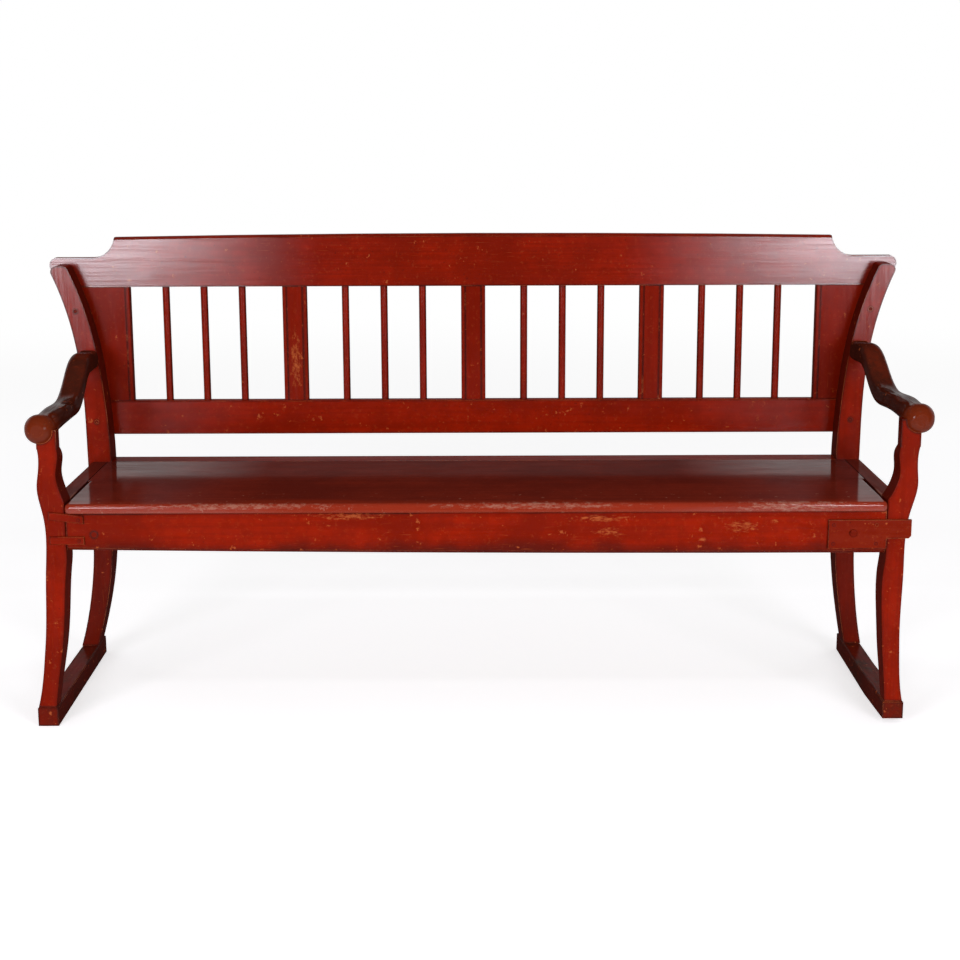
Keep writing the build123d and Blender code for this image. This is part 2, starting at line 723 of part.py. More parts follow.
def make_rear_seat_rail():
    """Return the rail between the back posts, with a housing for each fixed slat."""
    z = (SEAT_HEIGHT - REAR_RAIL_HEIGHT, SEAT_HEIGHT)
    rail = block((-POST_FACE, POST_FACE), (Y_REAR_RAIL, Y_PANEL), z)
    rail = rail + both_sides(rear_rail_end())
    for x in slat_places():
        rail = rail - fixed_slat_blank(x)
    return rail


def bearer_tenon(side):
    """Return the front bearer's tenon into the end rail."""
    y_centre = (Y_BEARER + Y_BEARER_BACK) / 2
    y = (y_centre - TENON_THICKNESS / 2, y_centre + TENON_THICKNESS / 2)
    z = (Z_BEARER - BEARER_HEIGHT + TENON_SHOULDER / 2, Z_BEARER - TENON_SHOULDER)
    return block((leg_inner(side), leg_inner(side) + BEARER_TENON_LENGTH), y, z)


def make_front_bearer():
    """Return the fixed bearer that the slats lie and slide on."""
    x = (-leg_inner(LEFT), leg_inner(RIGHT))
    bearer = block(x, (Y_BEARER, Y_BEARER_BACK), (Z_BEARER - BEARER_HEIGHT, Z_BEARER))
    return bearer + both_ends(bearer_tenon) - make_slat_nails()


def slat_places():
    """Return the X centre of each fixed slat."""
    return [(index - (SLAT_COUNT - 1) / 2) * SLAT_PITCH for index in range(SLAT_COUNT)]


def sliding_slat_places():
    """Return the X centre of each sliding slat, halfway between fixed slats."""
    return [x + SLAT_PITCH / 2 for x in slat_places()[:-1]]


def fixed_slat_blank(x):
    """Return a fixed slat from the bearer into the rear rail's housing."""
    x_span = (x - SLAT_WIDTH / 2, x + SLAT_WIDTH / 2)
    y_span = (Y_BEARER, Y_REAR_RAIL + SLAT_HOUSING)
    return block(x_span, y_span, (Z_BEARER, Z_BEARER + SLAT_THICKNESS))


def slat_nail(x):
    """Return the wrought nail that holds a fixed slat to the bearer."""
    y = (Y_BEARER + Y_BEARER_BACK) / 2
    z_top = Z_BEARER + SLAT_THICKNESS
    shank = rod((x, y, z_top - NAIL_LENGTH), (x, y, z_top), NAIL_DIAMETER)
    head = rod((x, y, z_top - NAIL_HEAD_HEIGHT), (x, y, z_top), NAIL_HEAD_DIAMETER)
    return shank + head


def make_slat_nails():
    """Return the row of nails along the bearer."""
    nails = [slat_nail(x) for x in slat_places()]
    return nails[0] + nails[1:]


# ---------------------------------------------------------------- back panel
def crest_edges():
    """Return the crest rail's outline, stepped down at each end by a hollow shoulder."""
    half = CREST_LENGTH / 2
    shoulder_z = Z_CREST + CREST_SHOULDER_HEIGHT
    end_z = Z_CREST + CREST_END_HEIGHT
    corner = (half - CREST_CORNER, shoulder_z)
    hollow_start = (CREST_TOP_WIDTH / 2 + CREST_SHOULDER_RUN, shoulder_z)
    hollow_end = (CREST_TOP_WIDTH / 2, Z_CREST_TOP)
    hollow_mid = (
        CREST_TOP_WIDTH / 2 + CREST_HOLLOW_RUN * CREST_SHOULDER_RUN,
        shoulder_z + CREST_HOLLOW_RISE * (Z_CREST_TOP - shoulder_z),
    )
    end_mid = (half - (1 - CREST_CORNER_BULGE) * CREST_CORNER, (end_z + 2 * shoulder_z) / 3)
    right = [
        Line((half - CREST_END_RAKE, Z_CREST), (half, end_z)),
        ThreePointArc((half, end_z), end_mid, corner),
        Line(corner, hollow_start),
        ThreePointArc(hollow_start, hollow_mid, hollow_end),
    ]
    left = [mirror(edge, about=Plane.YZ) for edge in right]
    crown = ThreePointArc(hollow_end, (0, Z_CREST_TOP + CREST_ARCH), (-hollow_end[0], hollow_end[1]))
    sole = Line((-half + CREST_END_RAKE, Z_CREST), (half - CREST_END_RAKE, Z_CREST))
    return [sole, crown, *right, *left]


def make_crest_rail():
    """Return the crest rail with mortises for the stiles and spindles."""
    crest = board(crest_edges(), Y_PANEL, Y_BACK)
    crown_edge = crest.edges().filter_by(GeomType.CIRCLE).sort_by(Edge.length)[-2:]
    crest = chamfer(crown_edge.sort_by(Axis.Y)[0], CREST_CHAMFER)
    return crest - panel_joints()


def make_lower_back_rail():
    """Return the lower rail of the back panel."""
    half = LOWER_RAIL_LENGTH / 2
    rail = block((-half, half), (Y_PANEL, Y_BACK), (Z_LOWER_RAIL, Z_OPENING))
    front_edges = rail.edges().filter_by(Axis.X).group_by(Axis.Y)[0]
    rail = chamfer(front_edges, RAIL_CHAMFER)
    return rail - panel_joints() - both_sides(panel_pegs())


def stile_tenons(x_low, x_high):
    """Return the tenons at both ends of a stile."""
    y_centre = (Y_PANEL + Y_BACK) / 2
    y = (y_centre - STILE_TENON_THICKNESS / 2, y_centre + STILE_TENON_THICKNESS / 2)
    x = (x_low + TENON_SHOULDER, x_high - TENON_SHOULDER)
    low = block(x, y, (Z_OPENING - TENON_LENGTH, Z_OPENING))
    high = block(x, y, (Z_CREST, Z_CREST + TENON_LENGTH))
    return low + high


def mid_stile_tenons(x):
    """Return the tenons of the middle stile centred at X."""
    return stile_tenons(x - MID_STILE_WIDTH / 2, x + MID_STILE_WIDTH / 2)


def quirk(x_low, y_face):
    """Return the groove that sets off a stile's bead, from its low X and the stile's face."""
    y = (y_face - QUIRK_DEPTH, y_face + QUIRK_DEPTH)
    return block((x_low, x_low + QUIRK_WIDTH), y, (Z_OPENING, Z_CREST))


def make_mid_stile(x):
    """Return the middle stile centred at X, with a bead along each edge."""
    y_face = Y_PANEL + STILE_SETBACK
    x_low = x - MID_STILE_WIDTH / 2
    x_high = x + MID_STILE_WIDTH / 2
    stile = block((x_low, x_high), (y_face, Y_BACK - STILE_SETBACK), (Z_OPENING, Z_CREST))
    front_edges = stile.edges().filter_by(Axis.Z).group_by(Axis.Y)[0]
    stile = fillet(front_edges, STILE_BEAD_RADIUS)
    left_quirk = quirk(x_low + STILE_BEAD_WIDTH, y_face)
    right_quirk = quirk(x_high - STILE_BEAD_WIDTH - QUIRK_WIDTH, y_face)
    return stile - left_quirk - right_quirk + mid_stile_tenons(x)


def end_stile_tenons():
    """Return the tenons of the right end stile."""
    x_outer = POST_CENTRE + flare_out(Z_OPENING)
    return stile_tenons(OPENING_WIDTH / 2, x_outer)


def make_end_stile():
    """Return the wide end stile, its outer edge following the post in front of it."""
    step = OPENING_HEIGHT / (END_STILE_STATIONS - 1)
    heights = [Z_OPENING + index * step for index in range(END_STILE_STATIONS)]
    outer = [(POST_CENTRE + END_STILE_LAP + flare_out(height), height) for height in heights]
    inner = OPENING_WIDTH / 2
    edges = [
        Line((inner, Z_OPENING), outer[0]),
        Spline(outer),
        Line(outer[-1], (inner, Z_CREST)),
        Line((inner, Z_CREST), (inner, Z_OPENING)),
    ]
    stile = board(edges, Y_PANEL, Y_BACK - STILE_SETBACK)
    inner_edges = stile.edges().filter_by(Axis.Z).group_by(Axis.X)[0]
    stile = fillet(inner_edges.sort_by(Axis.Y)[0], STILE_BEAD_RADIUS)
    stile = stile - quirk(inner + STILE_BEAD_WIDTH, Y_PANEL)
    return stile + end_stile_tenons() - panel_pegs()


def bay_places(low, high):
    """Return the X centres of the spindles spread evenly over one bay."""
    gap = (high - low) / (SPINDLES_PER_BAY + 1)
    return [low + gap * (index + 1) for index in range(SPINDLES_PER_BAY)]


def spindle_places():
    """Return the X centres of all spindles from left to right; those of the left bay have drifted."""
    inner_edge = MID_STILE_WIDTH / 2
    inner_bay = bay_places(inner_edge, MID_STILE_PITCH - MID_STILE_WIDTH / 2)
    outer_bay = bay_places(MID_STILE_PITCH + MID_STILE_WIDTH / 2, OPENING_WIDTH / 2)
    right = inner_bay + outer_bay
    left = [-x for x in reversed(right)]
    end_bay = [x - LEFT_BAY_DRIFT for x in left[:SPINDLES_PER_BAY]]
    return end_bay + left[SPINDLES_PER_BAY:] + right


def make_spindle(x):
    """Return the round spindle at X with a thinner pin at each end."""
    y = (Y_PANEL + Y_BACK) / 2
    body = rod((x, y, Z_OPENING), (x, y, Z_CREST), SPINDLE_DIAMETER)
    return body + spindle_pin(x)


def spindle_pin(x):
    """Return the pin that runs through the spindle into both rails."""
    y = (Y_PANEL + Y_BACK) / 2
    low = (x, y, Z_OPENING - SPINDLE_PIN_LENGTH)
    return rod(low, (x, y, Z_CREST + SPINDLE_PIN_LENGTH), SPINDLE_PIN_DIAMETER)


def panel_joints():
    """Return the tenons and pins that enter the rails of the back panel."""
    joints = both_sides(end_stile_tenons())
    for x in (-MID_STILE_PITCH, 0.0, MID_STILE_PITCH):
        joints = joints + mid_stile_tenons(x)
    pins = [spindle_pin(x) for x in spindle_places()]
    return joints + pins


# ---------------------------------------------------------------- sliding seat
def seat_span():
    """Return the low and high X of the seat, which stands off-centre in the racked frame."""
    return (-seat_half(LEFT), seat_half(RIGHT))


def tongue():
    """Return the tongue along the joint of the two seat boards."""
    z_centre = Z_BOARD + SEAT_BOARD_THICKNESS / 2
    z = (z_centre - TONGUE_THICKNESS / 2, z_centre + TONGUE_THICKNESS / 2)
    return block(seat_span(), (Y_SEAT_JOINT - TONGUE_LENGTH, Y_SEAT_JOINT), z)


def make_seat_board_front():
    """Return the front seat board with its rounded nosing."""
    seat = block(seat_span(), (Y_NOSE, Y_SEAT_JOINT), (Z_BOARD, SEAT_HEIGHT))
    corners = seat.edges().filter_by(Axis.Z).group_by(Axis.Y)[0]
    seat = fillet(corners, NOSING_CORNER)
    seat = fillet(seat.edges().group_by(Axis.Y)[0].group_by(Axis.Z)[-1], NOSING_TOP_RADIUS)
    seat = fillet(seat.edges().group_by(Axis.Y)[0].group_by(Axis.Z)[0], NOSING_LOW_RADIUS)
    return seat - tongue()


def make_seat_board_rear():
    """Return the rear seat board with its tongue."""
    seat = block(seat_span(), (Y_SEAT_JOINT, Y_SEAT_REAR), (Z_BOARD, SEAT_HEIGHT))
    return seat + tongue()


def make_apron():
    """Return the apron under the nosing, a board that widens a little to the right."""
    x_left, x_right = seat_span()
    low_left = (x_left, Z_APRON + APRON_LEFT_RISE)
    low_right = (x_right, Z_APRON - APRON_RIGHT_DROP)
    edges = [
        ThreePointArc(low_left, (0, Z_APRON - APRON_SAG), low_right),
        Line(low_right, (x_right, Z_BOARD)),
        Line((x_right, Z_BOARD), (x_left, Z_BOARD)),
        Line((x_left, Z_BOARD), low_left),
    ]
    apron = board(edges, Y_APRON, Y_APRON_BACK)
    low_edges = apron.edges().filter_by(GeomType.CIRCLE)
    apron = chamfer(low_edges.sort_by(Axis.Y)[0], APRON_CHAMFER)
    return apron - make_pivot_bolts()


def make_sliding_slat(x):
    """Return a slat under the seat, which lies on the cross bar at the back."""
    x_span = (x - SLIDING_SLAT_WIDTH / 2, x + SLIDING_SLAT_WIDTH / 2)
    return block(x_span, (Y_APRON_BACK, Y_SEAT_REAR), (Z_SLIDING_SLAT, Z_BOARD))


def make_rear_cross_bar():
    """Return the bar under the sliding slats, notched to pass the fixed slats."""
    half = CROSS_BAR_LENGTH / 2
    y = (Y_SEAT_REAR - CROSS_BAR_WIDTH, Y_SEAT_REAR)
    bar = block((-half, half), y, (Z_SLIDING_SLAT - CROSS_BAR_HEIGHT, Z_SLIDING_SLAT))
    notch_half = SLAT_WIDTH / 2 + CROSS_BAR_NOTCH
    for x in slat_places():
        notch_z = (Z_SLIDING_SLAT - CROSS_BAR_NOTCH, Z_SLIDING_SLAT)
        bar = bar - block((x - notch_half, x + notch_half), y, notch_z)
    return bar


# ---------------------------------------------------------------- drop legs
def pivot_bolt(x, y_head):
    """Return the pivot bolt at X with its domed head bearing at Y."""
    shank = rod((x, y_head, Z_PIVOT), (x, Y_BOLT_END, Z_PIVOT), BOLT_DIAMETER)
    head = rod((x, y_head - BOLT_HEAD_HEIGHT, Z_PIVOT), (x, y_head, Z_PIVOT), BOLT_HEAD_DIAMETER)
    head = fillet(head.edges().group_by(Axis.Y)[0], BOLT_HEAD_HEIGHT / 2)
    return shank + head


def make_pivot_bolts():
    """Return both pivot bolts: the left one sunk flush, the right one through the lap plate."""
    left = pivot_bolt(-PIVOT_SPACING / 2, Y_APRON + BOLT_HEAD_HEIGHT)
    right = pivot_bolt(PIVOT_SPACING / 2, Y_APRON - PLATE_THICKNESS)
    return left + right


def make_pivot_washers():
    """Return the washer behind each drop leg."""
    washers = []
    for x in (-PIVOT_SPACING / 2, PIVOT_SPACING / 2):
        washers.append(rod((x, Y_WASHER, Z_PIVOT), (x, Y_NUT, Z_PIVOT), WASHER_DIAMETER))
    return washers[0] + washers[1] - make_pivot_bolts()


def make_pivot_nuts():
    """Return the square wrought nut on the tail of each pivot bolt."""
    nuts = []
    for x in (-PIVOT_SPACING / 2, PIVOT_SPACING / 2):
        x_span = (x - NUT_SIZE / 2, x + NUT_SIZE / 2)
        z_span = (Z_PIVOT - NUT_SIZE / 2, Z_PIVOT + NUT_SIZE / 2)
        nuts.append(block(x_span, (Y_NUT, Y_NUT + NUT_THICKNESS), z_span))
    return nuts[0] + nuts[1] - make_pivot_bolts()


def make_drop_leg():
    """Return the right drop leg, folded up behind the apron towards the middle."""
    half = DROP_LEG_WIDTH / 2
    x_pivot = PIVOT_SPACING / 2
    y = (Y_DROP_LEG, Y_DROP_LEG + DROP_LEG_THICKNESS)
    leg = block((x_pivot - DROP_LEG_LENGTH, x_pivot), y, (Z_PIVOT - half, Z_PIVOT + half))
    leg = leg + rod((x_pivot, y[0], Z_PIVOT), (x_pivot, y[1], Z_PIVOT), DROP_LEG_WIDTH)
    bore_diameter = BOLT_DIAMETER + 2 * BOLT_RUNNING_GAP
    return leg - rod((x_pivot, y[0], Z_PIVOT), (x_pivot, y[1], Z_PIVOT), bore_diameter)


# ---------------------------------------------------------------- lap pieces
def plate_outer():
    """Return the X of the lap plate's outer end, just past the right leg."""
    return LEG_OUTER + racked(RIGHT, Z_END_JOINT) + PLATE_PAST_LEG


def make_lap_plate():
    """Return the plate at the right end that laps over the front leg as a stop."""
    x_outer = plate_outer()
    x_inner = x_outer - PLATE_LENGTH
    x_step = seat_half(RIGHT)
    z_top = Z_BOARD - PLATE_TOP_DROP
    z_low = z_top - PLATE_HEIGHT
    z_step = z_top - PLATE_TONGUE_HEIGHT
    corners = [
        (x_inner, z_low),
        (x_step, z_low),
        (x_step, z_step),
        (x_outer - PLATE_CORNER, z_step),
        (x_outer, z_step + PLATE_CORNER),
        (x_outer, z_top),
        (x_inner, z_top),
    ]
    edges = [Line(start, end) for start, end in zip(corners, corners[1:] + corners[:1])]
    plate = board(edges, Y_APRON - PLATE_THICKNESS, Y_APRON)
    return plate - make_pivot_bolts() - make_lap_nails()


def strap_inner():
    """Return the X of the straps' inner ends on the apron."""
    return -seat_half(LEFT) + STRAP_LENGTH - STRAP_REACH


def make_strap(drop, rise):
    """Return a left-hand strap that laps over the front leg as a stop, rising outwards."""
    x_inner = strap_inner()
    x_outer = x_inner - STRAP_LENGTH
    z_top = Z_BOARD - drop
    corners = [
        (x_inner, z_top - STRAP_HEIGHT),
        (x_inner, z_top),
        (x_outer, z_top + rise),
        (x_outer, z_top + rise - STRAP_HEIGHT),
    ]
    edges = [Line(start, end) for start, end in zip(corners, corners[1:] + corners[:1])]
    strap = board(edges, Y_APRON - STRAP_THICKNESS, Y_APRON)
    front_edges = strap.faces().sort_by(Axis.Y)[0].edges()
    return chamfer(front_edges, STRAP_CHAMFER) - make_lap_nails()


def lap_nail(x, y_face, z):
    """Return a nail driven through a lap piece into the apron."""
    shank = rod((x, y_face, z), (x, y_face + LAP_NAIL_LENGTH, z), NAIL_DIAMETER)
    head = rod((x, y_face - LAP_NAIL_HEAD_HEIGHT, z), (x, y_face, z), NAIL_HEAD_DIAMETER)
    return shank + head


def make_lap_nails():
    """Return the nails of the lap plate and of both straps."""
    y_plate = Y_APRON - PLATE_THICKNESS
    z_high = Z_BOARD - PLATE_TOP_DROP - LAP_NAIL_EDGE
    z_low = Z_BOARD - PLATE_TOP_DROP - PLATE_HEIGHT + LAP_NAIL_EDGE
    plate_left = plate_outer() - PLATE_LENGTH + LAP_NAIL_EDGE
    plate_right = seat_half(RIGHT) - 2 * LAP_NAIL_EDGE
    nails = [lap_nail(x, y_plate, z) for x in (plate_left, plate_right) for z in (z_low, z_high)]
    x_strap = strap_inner() - LAP_NAIL_EDGE
    for drop in (UPPER_STRAP_DROP, LOWER_STRAP_DROP):
        z = Z_BOARD - drop - STRAP_HEIGHT / 2
        nails.append(lap_nail(x_strap, Y_APRON - STRAP_THICKNESS, z))
    return nails[0] + nails[1:]


# ---------------------------------------------------------------- assembly
def build_end_frames():
    """Store the pieces of both end frames."""
    add_ends("runner", make_runner)
    add_ends("front_leg", lambda side: make_front_leg(side, make_arm(side)))
    add_ends("back_post", make_back_post)
    add_ends("arm", lambda side: make_arm(side) - arm_tenon(side) + arm_rear_tenon(side))
    add_ends("end_rail", make_end_rail)
    PIECES["joint_pegs"] = both_sides(panel_pegs()) + both_ends(end_pegs)


def build_back_panel():
    """Store the rails, stiles and spindles of the back."""
    PIECES["crest_rail"] = make_crest_rail()
    PIECES["lower_back_rail"] = make_lower_back_rail()
    add_pair("end_stile", make_end_stile())
    add_pair("mid_stile", make_mid_stile(MID_STILE_PITCH))
    PIECES["mid_stile_centre"] = make_mid_stile(0.0)
    for number, x in enumerate(spindle_places(), start=1):
        PIECES[f"spindle_{number:02d}"] = make_spindle(x)


def build_slat_deck():
    """Store the fixed frame and slats under the seat."""
    PIECES["rear_seat_rail"] = make_rear_seat_rail()
    PIECES["front_bearer"] = make_front_bearer()
    for number, x in enumerate(slat_places(), start=1):
        PIECES[f"fixed_slat_{number}"] = fixed_slat_blank(x) - slat_nail(x)
    PIECES["slat_nails"] = make_slat_nails()


def build_sliding_seat():
    """Store the pieces that pull forward together."""
    PIECES["seat_board_front"] = make_seat_board_front()
    PIECES["seat_board_rear"] = make_seat_board_rear()
    PIECES["apron"] = make_apron() - make_lap_nails()
    PIECES["rear_cross_bar"] = make_rear_cross_bar()
    for number, x in enumerate(sliding_slat_places(), start=1):
        PIECES[f"sliding_slat_{number}"] = make_sliding_slat(x)
    PIECES["lap_plate"] = make_lap_plate()
    PIECES["lap_strap_upper"] = make_strap(UPPER_STRAP_DROP, UPPER_STRAP_RISE)
    PIECES["lap_strap_lower"] = make_strap(LOWER_STRAP_DROP, LOWER_STRAP_RISE)
    PIECES["lap_nails"] = make_lap_nails()


def build_drop_legs():
    """Store the folding legs and the iron they turn on."""
    add_pair("drop_leg", make_drop_leg())
    PIECES["pivot_bolts"] = make_pivot_bolts()
    PIECES["pivot_washers"] = make_pivot_washers()
    PIECES["pivot_nuts"] = make_pivot_nuts()


def main():
    """Build every piece and write it to its own file."""
    build_end_frames()
    build_back_panel()
    build_slat_deck()
    build_sliding_seat()
    build_drop_legs()
    os.makedirs("parts", exist_ok=True)
    for name, shape in PIECES.items():
        export_step(shape, f"parts/{name}.step")
        print(f"{name}: {len(shape.solids())} solid(s), {shape.volume:.0f} mm3")


main()
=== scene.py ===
"""Looks of the Swedish pull-out bench bed: old painted pine, worn and polished by hands.

Every length is in metres, in the same frame as the solids: +X to the right of a
front view, +Y to the back, +Z up, with the origin on the floor under the bench.
"""

import logging
import math
from dataclasses import dataclass, field, replace
from enum import Enum
from typing import NamedTuple

import bpy
from mathutils import Matrix, Vector

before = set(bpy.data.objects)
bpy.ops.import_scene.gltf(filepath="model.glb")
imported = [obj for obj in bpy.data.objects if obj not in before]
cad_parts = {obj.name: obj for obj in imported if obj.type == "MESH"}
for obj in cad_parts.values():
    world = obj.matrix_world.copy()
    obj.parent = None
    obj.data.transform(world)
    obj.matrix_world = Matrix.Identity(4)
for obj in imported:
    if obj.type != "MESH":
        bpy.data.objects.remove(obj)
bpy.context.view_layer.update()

LOG = logging.getLogger("bench")

Point = tuple[float, float, float]
Colour = tuple[float, float, float]
Span = tuple[float, float]
Socket = bpy.types.NodeSocket
Plug = Socket | float | tuple[float, ...]

ORIGIN: Point = (0.0, 0.0, 0.0)
WHITE: Colour = (1.0, 1.0, 1.0)
# dark tint for dirt and specks, also used for painted shade and a painted shadow
GRIME_AND_SHADE: Colour = (0.030, 0.006, 0.004)
WORN_ORANGE: Colour = (0.42, 0.085, 0.022)
# pale pink of the rubbed seat paint: worn paint, and also a painted highlight along the nosing
PINK_WEAR_AND_HIGHLIGHT: Colour = (0.36, 0.13, 0.085)
RED: Colour = (0.275, 0.0105, 0.0012)
DEEP_RED: Colour = (0.165, 0.0065, 0.001)


class Axis(Enum):
    """The bench's axes: along its length, across it from front to back, and upright."""

    ALONG = 0
    ACROSS = 1
    UPRIGHT = 2


@dataclass(frozen=True)
class Noise:
    """How fine a noise is, its layers, how strong the fine ones are, and where it fades in."""

    scale: float
    detail: float = 3.0
    rough: float = 0.55
    fades: Span = (0.0, 1.0)


AGE_MARKS: dict[str, Noise] = {
    "Specks": Noise(210.0, 2.0, fades=(0.67, 0.74)),
    "Stains": Noise(5.5, 4.0, fades=(0.42, 0.66)),
    "Chips": Noise(62.0, 3.0, 0.7, (0.655, 0.715)),
    "Mottle": Noise(26.0, 5.0, 0.7, (0.4, 0.62)),
    "Dust": Noise(120.0, 3.0, 0.7, (0.56, 0.72)),
}


# ------------------------------------------------------------------ shader wiring
class Wiring:
    """Adds nodes to one node tree and joins them by socket name."""

    def __init__(self, tree: bpy.types.NodeTree) -> None:
        """Take the tree that the nodes go into.

        Args:
            tree: a material's, a group's or the world's node tree.
        """
        self.tree = tree

    def add(self, kind: str, settings: dict | None = None, **plugs: Plug) -> bpy.types.Node:
        """Add one node, set it up and plug its inputs.

        Args:
            kind: the node's type name without its ShaderNode prefix.
            settings: properties to set on the node itself.
            plugs: inputs by name, with _ for a space, or by i0, i1 for a place.

        Returns:
            The new node.
        """
        node = self.tree.nodes.new("ShaderNode" + kind)
        for key, value in (settings or {}).items():
            setattr(node, key, value)
        for key, value in plugs.items():
            by_place = key[0] == "i" and key[1:].isdigit()
            socket = node.inputs[int(key[1:])] if by_place else node.inputs[key.replace("_", " ")]
            self.plug(socket, value)
        return node

    def plug(self, socket: Socket, value: Plug) -> None:
        """Link a socket to another one, or set its value.

        Args:
            socket: the input to fill.
            value: an output socket, or a constant.
        """
        if isinstance(value, Socket):
            self.tree.links.new(value, socket)
        elif socket.type == "RGBA" and len(value) == 3:
            socket.default_value = (*value, 1.0)
        else:
            socket.default_value = value

    def effect(self, tree: bpy.types.NodeTree, **plugs: Plug) -> bpy.types.Node:
        """Place a shader group with its own values.

        Args:
            tree: the group.
            plugs: its inputs by name.

        Returns:
            The group's node.
        """
        return self.add("Group", {"node_tree": tree}, **plugs)

    def place(self) -> Socket:
        """Return the Object coordinates."""
        return self.add("TexCoord").outputs["Object"]

    def normal(self) -> Socket:
        """Return the surface's normal."""
        return self.add("NewGeometry").outputs["Normal"]

    def along(self, vector: Plug, axis: Axis) -> Socket:
        """Return one coordinate of a vector.

        Args:
            vector: the vector.
            axis: which coordinate.

        Returns:
            The coordinate's socket.
        """
        return self.add("SeparateXYZ", Vector=vector).outputs[axis.value]

    def maths(self, operation: str, a: Plug, b: Plug = 0.0, clamp: bool = False) -> Socket:
        """Return the result of one maths step.

        Args:
            operation: Blender's name of the step.
            a: the first value.
            b: the second value.
            clamp: whether the result is kept from 0 to 1.

        Returns:
            The output socket.
        """
        return self.add("Math", {"operation": operation, "use_clamp": clamp}, i0=a, i1=b).outputs[0]

    def vector(self, operation: str, a: Plug, b: Plug = ORIGIN) -> Socket:
        """Return the result of one step on vectors.

        Args:
            operation: Blender's name of the step.
            a: the first vector.
            b: the second vector, where the step takes two.

        Returns:
            The output socket: a number for a length or a dot product, otherwise a vector.
        """
        node = self.add("VectorMath", {"operation": operation}, i0=a, i1=b)
        return node.outputs["Value" if operation in ("LENGTH", "DOT_PRODUCT") else "Vector"]

    def spread(self, value: Plug, span: Span, to: Span = (0.0, 1.0)) -> Socket:
        """Return a value eased from one range to another.

        Args:
            value: the value to spread.
            span: the range that it is spread from, which may run downwards.
            to: the new range.

        Returns:
            The output socket.
        """
        ends = {"From_Min": span[0], "From_Max": span[1], "To_Min": to[0], "To_Max": to[1]}
        node = self.add("MapRange", {"interpolation_type": "SMOOTHSTEP"}, Value=value, **ends)
        return node.outputs["Result"]

    def blend(self, a: Plug, b: Plug, share: float) -> Socket:
        """Return a share of one value added to the rest of another.

        Args:
            a: the first value.
            b: the second value.
            share: the first one's share, from 0 to 1.

        Returns:
            The output socket.
        """
        rest = self.maths("MULTIPLY", b, 1.0 - share)
        return self.maths("ADD", self.maths("MULTIPLY", a, share), rest)

    def mix(self, share: Plug, a: Plug, b: Plug) -> Socket:
        """Return two colours mixed by a share.

        Args:
            share: how much of the second colour shows.
            a: the first colour.
            b: the second colour.

        Returns:
            The mixed colour's socket.
        """
        return self.add("Mix", {"data_type": "RGBA"}, i0=share, i6=a, i7=b).outputs[2]

    def layered(self, base: Plug, layers: tuple[tuple[Socket, float, Colour], ...]) -> Plug:
        """Return a colour with tints laid over it in order.

        Args:
            base: the colour underneath.
            layers: each tint's mask, its amount and its colour.

        Returns:
            The colour's socket.
        """
        for mask, amount, tint in layers:
            base = self.mix(self.maths("MULTIPLY", mask, amount), base, tint)
        return base

    def noise(self, vector: Plug, noise: Noise) -> Socket:
        """Return a noise's value before it is faded.

        Args:
            vector: where the noise is read.
            noise: what the noise is like.

        Returns:
            The value's socket.
        """
        plugs = {"Scale": noise.scale, "Detail": noise.detail, "Roughness": noise.rough}
        return self.add("TexNoise", Vector=vector, **plugs).outputs[0]

    def mark(self, vector: Plug, noise: Noise) -> Socket:
        """Return a noise faded in between its two values.

        Args:
            vector: where the noise is read.
            noise: what the noise is like.

        Returns:
            The mask's socket.
        """
        return self.spread(self.noise(vector, noise), noise.fades)


class Group(NamedTuple):
    """A shader group, its wiring, and the nodes that hold its inputs and its outputs."""

    tree: bpy.types.NodeTree
    wiring: Wiring
    given: bpy.types.Node
    out: bpy.types.Node


def new_group(name: str, inputs: dict[str, float | Point], outputs: tuple[str, ...]) -> Group:
    """Make an empty shader node group with named sockets.

    Args:
        name: the group's name.
        inputs: each input's value by name: three numbers make it a vector.
        outputs: the names of the outputs, each of them one number.

    Returns:
        The group, ready to be wired.
    """
    tree = bpy.data.node_groups.new(name, "ShaderNodeTree")
    for label, value in inputs.items():
        kind = "NodeSocketVector" if isinstance(value, tuple) else "NodeSocketFloat"
        tree.interface.new_socket(label, in_out="INPUT", socket_type=kind).default_value = value
    for label in outputs:
        tree.interface.new_socket(label, in_out="OUTPUT", socket_type="NodeSocketFloat")
    return Group(tree, Wiring(tree), tree.nodes.new("NodeGroupInput"), tree.nodes.new("NodeGroupOutput"))


def new_material(name: str) -> tuple[bpy.types.Material, Wiring]:
    """Make a material with no nodes.

    Args:
        name: the material's name.

    Returns:
        The material and its wiring.
    """
    material = bpy.data.materials.new(name)
    material.use_nodes = True
    material.node_tree.nodes.clear()
    return material, Wiring(material.node_tree)


